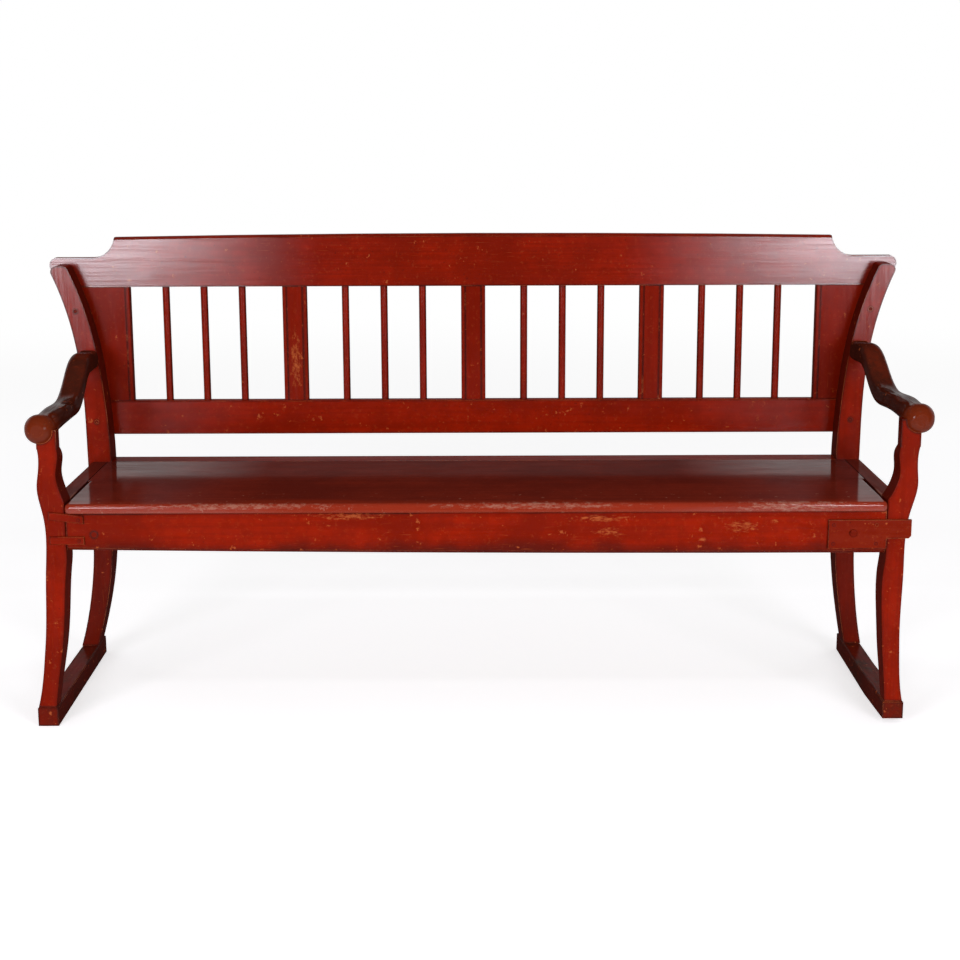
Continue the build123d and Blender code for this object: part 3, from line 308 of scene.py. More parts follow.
@dataclass
class Effects:
    """The shader groups that the finishes share, each built once."""

    bevel_samples: int = 6
    edge_width: float = 0.003
    edge_turn: Span = (0.004, 0.12)
    patchiness: float = 0.5
    patches: Noise = Noise(14.0, 4.0)
    breaks: Noise = Noise(160.0, 2.0)
    patch_share: float = 0.75
    patch_rim: Span = (-0.06, 0.06)
    strokes: Noise = Noise(1.0, 4.0, 0.6, (0.36, 0.66))
    bristles: Noise = Noise(3.4, 3.0, 0.65, (0.4, 0.62))
    stroke_share: float = 0.6
    spot_slope: Span = (1.0, 0.15)
    spot_rim: Span = (1.0, 0.8)
    spot_lift: float = 0.2
    spot_reach: Point = (1.0, 1.0, 1.0)
    spot_fineness: Point = (70.0, 70.0, 230.0)
    ragged: Noise = Noise(1.0, 6.0, 0.8, (0.62, 0.78))
    ring_bend: Noise = Noise(0.6, 2.0)
    ring_scale: float = 1.6
    ring_distortion: float = 3.0
    ring_detail: float = 2.0
    ring_fade: Span = (0.2, 0.95)
    fibre: Noise = Noise(9.0, 3.0)
    edges: bpy.types.NodeTree = field(init=False)
    brush: bpy.types.NodeTree = field(init=False)
    age: bpy.types.NodeTree = field(init=False)
    spot: bpy.types.NodeTree = field(init=False)
    pine: bpy.types.NodeTree = field(init=False)

    def __post_init__(self) -> None:
        """Build every group."""
        self.edges = self._edges()
        self.brush = self._brush()
        self.age = self._age()
        self.spot = self._spot()
        self.pine = self._pine()

    def _edges(self) -> bpy.types.NodeTree:
        """Build the group that finds a piece's arrises, broken up as by long use.

        Returns:
            The group: Edge is the whole arris, and Worn the places where it is rubbed.
        """
        inputs = {"Vector": ORIGIN, "Radius": self.edge_width, "Patchiness": self.patchiness}
        tree, w, given, out = new_group("edge_wear", inputs, ("Edge", "Worn"))
        here = given.outputs["Vector"]
        rounded = w.add("Bevel", {"samples": self.bevel_samples}, Radius=given.outputs["Radius"]).outputs[0]
        turned = w.maths("SUBTRACT", 1.0, w.vector("DOT_PRODUCT", rounded, w.normal()))
        edge = w.spread(turned, self.edge_turn)
        broken = w.blend(w.noise(here, self.patches), w.noise(here, self.breaks), self.patch_share)
        gate = w.spread(w.maths("SUBTRACT", broken, given.outputs["Patchiness"]), self.patch_rim)
        w.plug(out.inputs["Edge"], edge)
        w.plug(out.inputs["Worn"], w.maths("MULTIPLY", edge, gate, clamp=True))
        return tree

    def _brush(self) -> bpy.types.NodeTree:
        """Build the group of the brush's long strokes, on coordinates stretched along them.

        Returns:
            The group: Strokes and Bristles are masks, and Height is for relief.
        """
        outputs = ("Strokes", "Bristles", "Height")
        tree, w, given, out = new_group("brush_strokes", {"Vector": ORIGIN}, outputs)
        strokes = w.noise(given.outputs["Vector"], self.strokes)
        bristles = w.noise(given.outputs["Vector"], self.bristles)
        w.plug(out.inputs["Strokes"], w.spread(strokes, self.strokes.fades))
        w.plug(out.inputs["Bristles"], w.spread(bristles, self.bristles.fades))
        w.plug(out.inputs["Height"], w.blend(strokes, bristles, self.stroke_share))
        return tree

    @staticmethod
    def _age() -> bpy.types.NodeTree:
        """Build the group of the marks of age.

        Returns:
            The group, with one mask for each mark.
        """
        tree, w, given, out = new_group("age_marks", {"Vector": ORIGIN}, tuple(AGE_MARKS))
        for name, noise in AGE_MARKS.items():
            w.plug(out.inputs[name], w.mark(given.outputs["Vector"], noise))
        return tree

    def _spot(self) -> bpy.types.NodeTree:
        """Build the group of one worn place, strongest in its middle and ragged at its rim.

        Returns:
            The group: Mask is where the paint is rubbed, and Inside the whole place.
        """
        inputs = {"Vector": ORIGIN, "Middle": ORIGIN, "Reach": self.spot_reach}
        inputs["Fineness"] = self.spot_fineness
        tree, w, given, out = new_group("worn_spot", inputs, ("Mask", "Inside"))
        here = given.outputs["Vector"]
        offset = w.vector("SUBTRACT", here, given.outputs["Middle"])
        far = w.vector("LENGTH", w.vector("DIVIDE", offset, given.outputs["Reach"]))
        lifted = w.maths("MULTIPLY", w.spread(far, self.spot_slope), self.spot_lift)
        grainy = w.add("Mapping", Vector=here, Scale=given.outputs["Fineness"]).outputs[0]
        mask = w.spread(w.maths("ADD", w.noise(grainy, self.ragged), lifted), self.ragged.fades)
        w.plug(out.inputs["Mask"], mask)
        w.plug(out.inputs["Inside"], w.spread(far, self.spot_rim))
        return tree

    def _pine(self) -> bpy.types.NodeTree:
        """Build the group of pine's year rings and fibres, on coordinates stretched along the grain.

        Returns:
            The group: Rings is a mask, and Fibre a plain noise.
        """
        tree, w, given, out = new_group("pine_grain", {"Vector": ORIGIN}, ("Rings", "Fibre"))
        here = given.outputs["Vector"]
        pushed = w.vector("ADD", here, w.noise(here, self.ring_bend))
        settings = {"wave_type": "RINGS", "rings_direction": "X"}
        plugs = {"Scale": self.ring_scale, "Distortion": self.ring_distortion, "Detail": self.ring_detail}
        rings = w.add("TexWave", settings, Vector=pushed, **plugs).outputs["Fac"]
        w.plug(out.inputs["Rings"], w.spread(rings, self.ring_fade))
        w.plug(out.inputs["Fibre"], w.noise(here, self.fibre))
        return tree


EFFECTS = Effects()


def stretched(w: Wiring, grain: Axis, scales: Span, shift: float) -> Socket:
    """Return Object coordinates stretched along the grain.

    Args:
        w: the material's wiring.
        grain: the grain's axis.
        scales: the scale across the grain and the scale along it, per metre.
        shift: how far the pattern is moved, so that pieces differ.

    Returns:
        The coordinates' socket.
    """
    fine, long = scales
    scale = tuple(long if axis is grain else fine for axis in Axis)
    return w.add("Mapping", Vector=w.place(), Location=(shift, shift, shift), Scale=scale).outputs[0]


# ------------------------------------------------------------------ finishes
@dataclass(frozen=True)
class Spot:
    """One place of a piece, rubbed through or spared from it."""

    middle: Point
    reach: Point


@dataclass(frozen=True)
class Polish:
    """A stretch of a piece, measured out from the middle of its axis, that hands have polished."""

    amount: float
    axis: Axis
    start: float
    end: float
    facing: Axis = Axis.ACROSS
    turned: Span = (0.5, 0.8)


@dataclass(frozen=True)
class Soil:
    """A stretch of a piece along one axis that is tinted or darkened, more towards its end."""

    amount: float
    axis: Axis
    start: float
    end: float
    tint: Colour = GRIME_AND_SHADE
    swing: float = 0.2


class Layers(NamedTuple):
    """The effects placed in one paint, and its faces turned to the bench's middle."""

    brush: bpy.types.Node
    age: bpy.types.Node
    corners: bpy.types.Node
    arris: bpy.types.Node
    inner: Socket


@dataclass(frozen=True)
class Paint:
    """Old oil paint on wood: brushed, handled, darker along its arrises and in its inside corners, and
    rubbed at its arrises.

    Where the rim shade is set, a painted shade darkens the colour by the angle that it is
    seen at, so that part of it follows the viewer.
    """

    name: str
    colour: Colour
    deep: Colour
    worn: Colour
    grime_and_shade: Colour
    grain: Axis
    shift: float = 0.0
    fineness: float = 95.0
    stroke_length: float = 3.2
    roughness: float = 0.32
    bristle_roughness: float = 0.12
    rubbed_roughness: float = 0.2
    coat: float = 0.12
    coat_roughness: float = 0.2
    coat_ior: float = 1.5
    polish: tuple[Polish, ...] = ()
    burnish: float = 0.55
    streak_gloss: float = 0.55
    inner_gloss: float = 0.12
    inner_turn: Span = (-0.5, -0.85)
    stains: float = 0.75
    strokes: float = 0.45
    mottle: float = 0.4
    dust: float = 0.16
    specks: float = 0.5
    edge_dark_width: float = 0.008
    edge_dark: float = 0.95
    # how far a painted shade darkens faces turned to the bench's middle
    inner_shade: float = 0.6
    soil: tuple[Soil, ...] = ()
    wear_width: float = 0.002
    patchiness: float = 0.5
    chips: float = 0.75
    flecks: float = 0.35
    scratches: Noise = Noise(1.0, 2.0, 0.6, (0.66, 0.74))
    scratch_scales: Span = (420.0, 22.0)
    spots: tuple[Spot, ...] = ()
    spared: tuple[Spot, ...] = ()
    level_fineness: Point = EFFECTS.spot_fineness
    upright_fineness: Point = (150.0, 70.0, 75.0)
    # strength of a painted shade that darkens the colour where a surface is seen edge-on
    rim_shade: float = 0.0
    rim_shade_turn: Span = (0.3, 0.8)
    relief: float = 0.9
    relief_depth: float = 0.0006
    rubbed_depth: float = 0.5
    swell: Noise = Noise(1.0, 2.0)
    swell_scales: Span = (16.0, 1.6)
    swell_relief: float = 0.3
    swell_depth: float = 0.006

    def build(self) -> bpy.types.Material:
        """Build the material of this paint.

        Returns:
            The material.
        """
        material, w = new_material(self.name)
        layers = self._layers(w)
        rubbed = self._rubbed(w, layers)
        rough = w.spread(
            layers.brush.outputs["Bristles"],
            (0.0, 1.0),
            (self.roughness, self.roughness + self.bristle_roughness),
        )
        rough = w.maths("ADD", rough, w.maths("MULTIPLY", rubbed, self.rubbed_roughness), clamp=True)
        surface = w.add(
            "BsdfPrincipled",
            Base_Color=self._base(w, layers, rubbed),
            Roughness=rough,
            Normal=self._relief(w, layers, rubbed),
            Specular_IOR_Level=0.0,
            Coat_Weight=self._gloss(w, layers),
            Coat_IOR=self.coat_ior,
            Coat_Roughness=self.coat_roughness,
        )
        w.add("OutputMaterial", Surface=surface.outputs[0])
        return material

    def _layers(self, w: Wiring) -> Layers:
        """Place the shared effects in the material.

        Args:
            w: the material's wiring.

        Returns:
            The effects' nodes, and the inner faces.
        """
        moved = (self.shift, self.shift, self.shift)
        here = w.add("Mapping", Vector=w.place(), Location=moved).outputs[0]
        strokes = stretched(w, self.grain, (self.fineness, self.stroke_length), self.shift)
        arris = {"Radius": self.wear_width, "Patchiness": self.patchiness}
        return Layers(
            w.effect(EFFECTS.brush, Vector=strokes),
            w.effect(EFFECTS.age, Vector=here),
            w.effect(EFFECTS.edges, Vector=here, Radius=self.edge_dark_width),
            w.effect(EFFECTS.edges, Vector=here, **arris),
            self._inner(w),
        )

    def _inner(self, w: Wiring) -> Socket:
        """Return 1 on faces turned to the bench's middle, which get a painted shade and less coat.

        Args:
            w: the material's wiring.

        Returns:
            The share's socket.
        """
        sign = w.maths("SIGN", w.along(w.place(), Axis.ALONG))
        turned = w.maths("MULTIPLY", sign, w.along(w.normal(), Axis.ALONG))
        return w.spread(turned, self.inner_turn)

    def _base(self, w: Wiring, layers: Layers, rubbed: Socket) -> Plug:
        """Return the colour: stained, brushed, dirty and rubbed paint, darker along its edges, with painted
        shade on inner faces and, where set, at grazing view.

        Args:
            w: the material's wiring.
            layers: the effects' nodes.
            rubbed: where the paint is rubbed through.

        Returns:
            The colour's socket.
        """
        age = layers.age.outputs
        tints = (
            (age["Stains"], self.stains, self.deep),
            (layers.brush.outputs["Strokes"], self.strokes, self.deep),
            (age["Mottle"], self.mottle, self.deep),
            (age["Dust"], self.dust, self.worn),
            (age["Specks"], self.specks, self.grime_and_shade),
            # darker along arrises and in inside corners
            (layers.corners.outputs["Edge"], self.edge_dark, self.grime_and_shade),
            # painted shade on faces turned to the bench's middle
            (layers.inner, self.inner_shade, self.grime_and_shade),
        )
        base = w.layered(self.colour, tints)
        for soil in self.soil:
            swing = soil.swing * (soil.end - soil.start)
            ragged = w.spread(age["Stains"], (0.0, 1.0), (-swing, swing))
            level = w.maths("ADD", w.along(w.place(), soil.axis), ragged)
            base = w.mix(w.spread(level, (soil.start, soil.end), (0.0, soil.amount)), base, soil.tint)
        base = w.mix(rubbed, base, self.worn)
        # painted shade: the colour darkens where the surface is seen at a grazing angle, as on the round
        # spindles
        if self.rim_shade:
            away = w.add("LayerWeight", Blend=0.5).outputs["Facing"]
            base = w.mix(w.spread(away, self.rim_shade_turn, (0.0, self.rim_shade)), base, self.grime_and_shade)
        return base

    def _rubbed(self, w: Wiring, layers: Layers) -> Socket:
        """Return where the paint is rubbed or chipped through.

        Args:
            w: the material's wiring.
            layers: the effects' nodes.

        Returns:
            The mask's socket.
        """
        age = layers.age.outputs
        chipped = w.maths("MULTIPLY", age["Chips"], self.chips)
        rubbed = w.maths("MAXIMUM", layers.arris.outputs["Worn"], chipped)
        scratches = w.mark(stretched(w, self.grain, self.scratch_scales, self.shift), self.scratches)
        few = w.maths("MULTIPLY", scratches, age["Stains"])
        rubbed = w.maths("MAXIMUM", rubbed, w.maths("MULTIPLY", few, self.flecks))
        for spot in self.spots:
            rubbed = w.maths("MAXIMUM", rubbed, self._spot(w, spot).outputs["Mask"])
        for spot in self.spared:
            outside = w.maths("SUBTRACT", 1.0, self._spot(w, spot).outputs["Inside"])
            rubbed = w.maths("MULTIPLY", rubbed, outside)
        return rubbed

    def _spot(self, w: Wiring, spot: Spot) -> bpy.types.Node:
        """Place the node that finds one spot.

        Args:
            w: the material's wiring.
            spot: where it is and how far it reaches.

        Returns:
            The group's node, with its Mask and Inside outputs.
        """
        fineness = self.upright_fineness if self.grain is Axis.UPRIGHT else self.level_fineness
        plugs = {"Middle": spot.middle, "Reach": spot.reach, "Fineness": fineness}
        return w.effect(EFFECTS.spot, Vector=w.place(), **plugs)

    def _relief(self, w: Wiring, layers: Layers, rubbed: Socket) -> Socket:
        """Return the normal: brush strokes, sunk where rubbed, on slow waves of the wood.

        Args:
            w: the material's wiring.
            layers: the effects' nodes.
            rubbed: where the paint is rubbed through.

        Returns:
            The normal's socket.
        """
        sunk = w.maths("MULTIPLY", rubbed, self.rubbed_depth)
        height = w.maths("SUBTRACT", layers.brush.outputs["Height"], sunk)
        bump = w.add("Bump", Strength=self.relief, Distance=self.relief_depth, Height=height)
        waves = w.noise(stretched(w, self.grain, self.swell_scales, self.shift), self.swell)
        plugs = {"Strength": self.swell_relief, "Distance": self.swell_depth}
        return w.add("Bump", Height=waves, Normal=bump.outputs[0], **plugs).outputs[0]

    def _gloss(self, w: Wiring, layers: Layers) -> Socket:
        """Return the coat's weight: raised by polish and on arrises, and low on inner faces.

        Args:
            w: the material's wiring.
            layers: the effects' nodes.

        Returns:
            The weight's socket.
        """
        coat: Plug = self.coat
        for polish in self.polish:
            out = w.maths("ABSOLUTE", w.along(w.place(), polish.axis))
            turned = w.maths("ABSOLUTE", w.along(w.normal(), polish.facing))
            shine = w.spread(out, (polish.start, polish.end))
            shine = w.maths("MULTIPLY", shine, w.spread(turned, polish.turned))
            coat = w.maths("MAXIMUM", coat, w.maths("MULTIPLY", shine, polish.amount))
        coat = w.maths("MAXIMUM", coat, w.maths("MULTIPLY", layers.arris.outputs["Edge"], self.burnish))
        coat = w.maths("MULTIPLY", coat, w.spread(layers.inner, (0.0, 1.0), (1.0, self.inner_gloss)))
        streaks = w.spread(layers.brush.outputs["Bristles"], (0.0, 1.0), (1.0, self.streak_gloss))
        return w.maths("MULTIPLY", coat, streaks)


@dataclass(frozen=True)
class BarePine:
    """Unpainted sawn pine gone brown, as inside old furniture."""

    name: str
    light: Colour
    dark: Colour
    grain: Axis
    shift: float = 0.0
    stain: Colour = (0.11, 0.06, 0.03)
    scales: Span = (34.0, 1.3)
    rings: float = 0.7
    fibre: float = 0.35
    stains: float = 0.55
    worn: float = 0.5
    wear_width: float = 0.002
    fibre_span: Span = (0.3, 0.7)
    roughness: Span = (0.62, 0.8)
    specular: float = 0.3
    relief: float = 0.5
    relief_depth: float = 0.0005
    ring_height: float = 0.4

    def build(self) -> bpy.types.Material:
        """Build the material of this wood.

        Returns:
            The material.
        """
        material, w = new_material(self.name)
        here = w.place()
        pine = w.effect(EFFECTS.pine, Vector=stretched(w, self.grain, self.scales, self.shift)).outputs
        age = w.effect(EFFECTS.age, Vector=here).outputs
        corners = w.effect(EFFECTS.edges, Vector=here, Radius=self.wear_width).outputs
        tints = (
            (pine["Rings"], self.rings, self.dark),
            (pine["Fibre"], self.fibre, self.dark),
            (age["Stains"], self.stains, self.stain),
            (corners["Worn"], self.worn, self.light),
        )
        height = w.maths("ADD", pine["Fibre"], w.maths("MULTIPLY", pine["Rings"], self.ring_height))
        surface = w.add(
            "BsdfPrincipled",
            Base_Color=w.layered(self.light, tints),
            Roughness=w.spread(pine["Fibre"], self.fibre_span, self.roughness),
            Normal=w.add("Bump", Strength=self.relief, Distance=self.relief_depth, Height=height).outputs[0],
            Specular_IOR_Level=self.specular,
        )
        w.add("OutputMaterial", Surface=surface.outputs[0])
        return material


@dataclass(frozen=True)
class ForgedIron:
    """Hammered iron, rusty in its hollows."""

    name: str
    colour: Colour
    rust: Colour
    metallic: float
    roughness: float
    bright: Colour = (0.33, 0.2, 0.15)
    hammered: Noise = Noise(130.0, 3.0)
    rusty: Noise = Noise(75.0, 4.0, 0.65, (0.42, 0.6))
    rust_amount: float = 0.7
    rust_roughness: float = 0.2
    worn: float = 0.6
    wear_width: float = 0.0015
    relief: float = 0.6
    relief_depth: float = 0.0012

    def build(self) -> bpy.types.Material:
        """Build the material of this iron.

        Returns:
            The material.
        """
        material, w = new_material(self.name)
        here = w.place()
        corners = w.effect(EFFECTS.edges, Vector=here, Radius=self.wear_width).outputs
        rusty = w.mark(here, self.rusty)
        tints = ((rusty, self.rust_amount, self.rust), (corners["Worn"], self.worn, self.bright))
        rough = w.maths("ADD", w.maths("MULTIPLY", rusty, self.rust_roughness), self.roughness, clamp=True)
        relief = {"Strength": self.relief, "Distance": self.relief_depth}
        surface = w.add(
            "BsdfPrincipled",
            Base_Color=w.layered(self.colour, tints),
            Roughness=rough,
            Normal=w.add("Bump", Height=w.noise(here, self.hammered), **relief).outputs[0],
            Metallic=self.metallic,
        )
        w.add("OutputMaterial", Surface=surface.outputs[0])
        return material


def dress(material: bpy.types.Material, *names: str) -> None:
    """Put a material on solids of the frame.

    Args:
        material: the finish.
        names: the nodes to dress.
    """
    for name in names:
        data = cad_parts[name].data
        data.materials.clear()
        data.materials.append(material)
        LOG.info("dressed %s in %s", name, material.name)


FRAME_PAINT = Paint("frame_red", RED, DEEP_RED, WORN_ORANGE, GRIME_AND_SHADE, Axis.UPRIGHT)


# ------------------------------------------------------------------ sub-assemblies
@dataclass
class EndFrames:
    """The two end frames: runners, front legs, back posts, arms and the pegs in their joints."""

    sides: tuple[str, ...] = ("left", "right")
    pattern_step: float = 1.7
    runner_brown: Colour = (0.055, 0.013, 0.006)
    post_polish: Polish = Polish(0.85, Axis.UPRIGHT, 0.56, 0.74)
    # darker towards the bottom of the post
    post_darkening: Soil = Soil(0.5, Axis.UPRIGHT, 0.56, 0.3)
    arm_red: Colour = (0.115, 0.014, 0.005)
    arm_brown: Colour = (0.046, 0.0105, 0.0055)
    knob_soil: Soil = Soil(0.85, Axis.ACROSS, -0.17, -0.225, (0.155, 0.019, 0.0045))

    def dress_all(self) -> None:
        """Paint each piece of both ends."""
        for number, side in enumerate(self.sides):
            red = replace(FRAME_PAINT, name=f"end_red_{side}", shift=self.pattern_step * number)
            dress(red.build(), f"front_leg_{side}")
            post = replace(red, name=f"post_red_{side}", polish=(self.post_polish,), soil=(self.post_darkening,))
            dress(post.build(), f"back_post_{side}")
            runner = replace(red, name=f"runner_red_{side}", grain=Axis.ACROSS, colour=self.runner_brown)
            dress(runner.build(), f"runner_{side}")
            dress(self._arm(red, side).build(), f"arm_{side}")
        dress(replace(FRAME_PAINT, name="peg_red").build(), "joint_pegs")

    def _arm(self, red: Paint, side: str) -> Paint:
        """Return one arm's paint, handled brown and glossy, with a redder knob.

        Args:
            red: the paint of that end.
            side: left or right.

        Returns:
            The arm's paint.
        """
        return replace(
            red,
            name=f"arm_brown_{side}",
            grain=Axis.ACROSS,
            colour=self.arm_red,
            deep=self.arm_brown,
            roughness=0.26,
            mottle=0.7,
            dust=0.1,
            coat=0.3,
            coat_roughness=0.1,
            wear_width=0.006,
            soil=(self.knob_soil,),
        )


@dataclass
class BackPanel:
    """The spindled back: crest rail, lower rail, stiles and spindles."""

    spindle_count: int = 12
    crest_polish: Polish = Polish(1.0, Axis.ALONG, 0.26, 0.55)
    lower_polish: Polish = Polish(0.6, Axis.ALONG, 0.35, 0.7)
    stile_red: Colour = (0.23, 0.0095, 0.0015)
    stile_spots: tuple[Spot, ...] = (Spot((-0.383, 0.228, 0.66), (0.02, 0.03, 0.11)),)
    end_stiles: tuple[str, ...] = ("end_stile_left", "end_stile_right")
    mid_stiles: tuple[str, ...] = ("mid_stile_left", "mid_stile_centre", "mid_stile_right")

    def dress_all(self) -> None:
        """Paint the rails, the stiles and the spindles."""
        self._dress_rails()
        stile = replace(
            FRAME_PAINT,
            name="stile_red",
            shift=3.1,
            colour=self.stile_red,
            coat=0.2,
            edge_dark_width=0.004,
            edge_dark=1.0,
            patchiness=0.62,
            spots=self.stile_spots,
        )
        dress(stile.build(), *self.end_stiles, *self.mid_stiles)
        spindle = replace(FRAME_PAINT, name="spindle_red", shift=4.3, rim_shade=0.85, coat=0.35, chips=1.0)
        dress(spindle.build(), *[f"spindle_{number:02d}" for number in range(1, self.spindle_count + 1)])

    def _dress_rails(self) -> None:
        """Paint the crest rail, brushed finer and polished at its ends, and the lower rail."""
        rail = replace(FRAME_PAINT, name="rail_red", grain=Axis.ALONG)
        crest = replace(rail, name="crest_red", polish=(self.crest_polish,), coat_ior=1.9)
        crest = replace(crest, fineness=230.0, relief=1.0)
        dress(crest.build(), "crest_rail")
        lower = replace(rail, name="lower_rail_red", shift=0.8, polish=(self.lower_polish,), relief=0.8)
        dress(lower.build(), "lower_back_rail")


@dataclass
class SeatDrawer:
    """The seat that pulls out, with its apron, iron and slats, and the end rails in its maroon."""

    slat_count: int = 6
    seat_maroon: Colour = (0.205, 0.021, 0.010)
    seat_deep: Colour = (0.125, 0.014, 0.008)
    top_polish: Polish = Polish(0.42, Axis.ALONG, 0.35, 0.75, Axis.UPRIGHT)
    nosing_polish: Polish = Polish(0.95, Axis.ALONG, 0.3, 0.55, Axis.ACROSS)
    nosing_soil: Soil = Soil(0.7, Axis.ACROSS, -0.2, -0.243, (0.30, 0.026, 0.008))
    # pale rubbed bands along the nosing: worn paint and a painted highlight
    nosing_wear_and_highlight: tuple[Spot, ...] = (
        Spot((0.62, -0.248, 0.443), (0.22, 0.03, 0.02)),
        Spot((0.12, -0.248, 0.445), (0.34, 0.03, 0.012)),
        Spot((-0.45, -0.248, 0.445), (0.36, 0.03, 0.012)),
    )
    unworn_seat: Spot = Spot((0.0, 0.04, 0.45), (3.0, 0.2, 0.3))
    apron_red: Colour = (0.30, 0.0115, 0.001)
    # darker towards the apron's bottom edge
    apron_foot: Soil = Soil(0.55, Axis.UPRIGHT, 0.381, 0.352)
    # painted shadow under the seat's nosing, along the apron's top edge
    apron_nosing_shadow: Soil = Soil(0.85, Axis.UPRIGHT, 0.4255, 0.4305)
    apron_spots: tuple[Spot, ...] = (
        Spot((-0.24, -0.238, 0.424), (0.13, 0.02, 0.013)),
        Spot((0.24, -0.238, 0.417), (0.10, 0.02, 0.011)),
        Spot((0.26, -0.238, 0.390), (0.055, 0.02, 0.014)),
        Spot((0.52, -0.238, 0.399), (0.05, 0.02, 0.022)),
        Spot((0.444, -0.238, 0.374), (0.014, 0.02, 0.010)),
        Spot((0.583, -0.238, 0.409), (0.012, 0.02, 0.010)),
    )
    bolt_places: tuple[Point, ...] = ((-0.733, -0.24, 0.388), (0.733, -0.24, 0.388))
    bolt_reach: Point = (0.016, 0.03, 0.016)
    plate_red: Colour = (0.20, 0.0135, 0.003)
    strap_red: Colour = (0.25, 0.011, 0.002)
    head_red: Colour = (0.15, 0.009, 0.002)
    slat_light: Colour = (0.42, 0.255, 0.12)
    slat_dark: Colour = (0.27, 0.14, 0.06)

    def dress_all(self) -> None:
        """Paint the boards, the apron and the iron, and leave the slats bare."""
        self._dress_boards()
        self._dress_apron()
        bare = BarePine("slat_pine", self.slat_light, self.slat_dark, Axis.ACROSS)
        dress(bare.build(), *[f"sliding_slat_{number}" for number in range(1, self.slat_count + 1)])
        dress(replace(bare, name="cross_bar_pine", grain=Axis.ALONG).build(), "rear_cross_bar")

    def _dress_boards(self) -> None:
        """Paint the seat boards, worn and with a painted highlight at their nosing, and the end rails beside
        them.
        """
        seat = replace(
            FRAME_PAINT,
            name="seat_maroon",
            grain=Axis.ALONG,
            colour=self.seat_maroon,
            deep=self.seat_deep,
            worn=PINK_WEAR_AND_HIGHLIGHT,
            roughness=0.2,
            coat=0.045,
            coat_roughness=0.1,
            polish=(self.top_polish, self.nosing_polish),
            burnish=0.0,
            mottle=0.3,
            dust=0.08,
            edge_dark_width=0.0015,
            # wide rubbed arris, pale as worn paint and as a painted highlight on the nosing
            wear_width=0.008,
            patchiness=0.40,
            flecks=0.6,
            spots=self.nosing_wear_and_highlight,
            spared=(self.unworn_seat,),
            soil=(self.nosing_soil,),
        )
        dress(seat.build(), "seat_board_front", "seat_board_rear")
        rail = replace(seat, name="end_rail_maroon", grain=Axis.ACROSS, soil=(), polish=(), coat=0.07)
        dress(rail.build(), "end_rail_left", "end_rail_right")

    def _dress_apron(self) -> None:
        """Paint the apron, and the plate, straps, nails and bolts that are fixed to the seat."""
        apron = replace(
            FRAME_PAINT,
            name="apron_red",
            grain=Axis.ALONG,
            colour=self.apron_red,
            shift=2.2,
            spots=self.apron_spots,
            spared=tuple(Spot(place, self.bolt_reach) for place in self.bolt_places),
            soil=(self.apron_foot, self.apron_nosing_shadow),
        )
        dress(apron.build(), "apron")
        plain = replace(apron, name="plate_red", spots=(), soil=(), edge_dark_width=0.004)
        plate = replace(plain, colour=self.plate_red, chips=0.8)
        dress(plate.build(), "lap_plate")
        strap = replace(plate, name="strap_red", colour=self.strap_red, chips=1.0, patchiness=0.46)
        strap = replace(strap, relief=1.0)
        dress(strap.build(), "lap_strap_upper", "lap_strap_lower")
        head = replace(strap, name="bolt_head_red", colour=self.head_red, edge_dark_width=0.002, patchiness=0.6)
        dress(head.build(), "pivot_bolts", "lap_nails")


@dataclass
class SlatDeck:
    """The fixed deck that the seat slides on, and the rail behind it."""

    slat_count: int = 7
    light: Colour = (0.40, 0.24, 0.115)
    dark: Colour = (0.26, 0.135, 0.058)

    def dress_all(self) -> None:
        """Leave the deck as bare pine and paint the rail that shows behind the seat."""
        bare = BarePine("deck_pine", self.light, self.dark, Axis.ACROSS, shift=1.9)
        dress(bare.build(), *[f"fixed_slat_{number}" for number in range(1, self.slat_count + 1)])
        dress(replace(bare, name="bearer_pine", grain=Axis.ALONG).build(), "front_bearer")
        dress(replace(FRAME_PAINT, name="rear_rail_red", grain=Axis.ALONG).build(), "rear_seat_rail")


@dataclass
class DropLegs:
    """The folding legs behind the apron, and the bare iron of the bench."""

    legs: tuple[str, ...] = ("drop_leg_left", "drop_leg_right")
    bare_iron: tuple[str, ...] = ("pivot_washers", "pivot_nuts", "slat_nails")
    light: Colour = (0.38, 0.225, 0.11)
    dark: Colour = (0.24, 0.125, 0.055)
    iron: Colour = (0.075, 0.06, 0.055)
    rust: Colour = (0.12, 0.045, 0.02)

    def dress_all(self) -> None:
        """Leave the legs as bare pine, and the washers, nuts and slat nails as dark iron."""
        dress(BarePine("leg_pine", self.light, self.dark, Axis.ALONG, shift=2.7).build(), *self.legs)
        iron = ForgedIron("nut_iron", self.iron, self.rust, metallic=0.8, roughness=0.5)
        dress(iron.build(), *self.bare_iron)


# ------------------------------------------------------------------ studio
@dataclass(frozen=True)
class Lamps:
    """Like soft boxes: their power in watts, their width and height, and where they hang."""

    name: str
    power: float
    size: Span
    places: tuple[Point, ...]


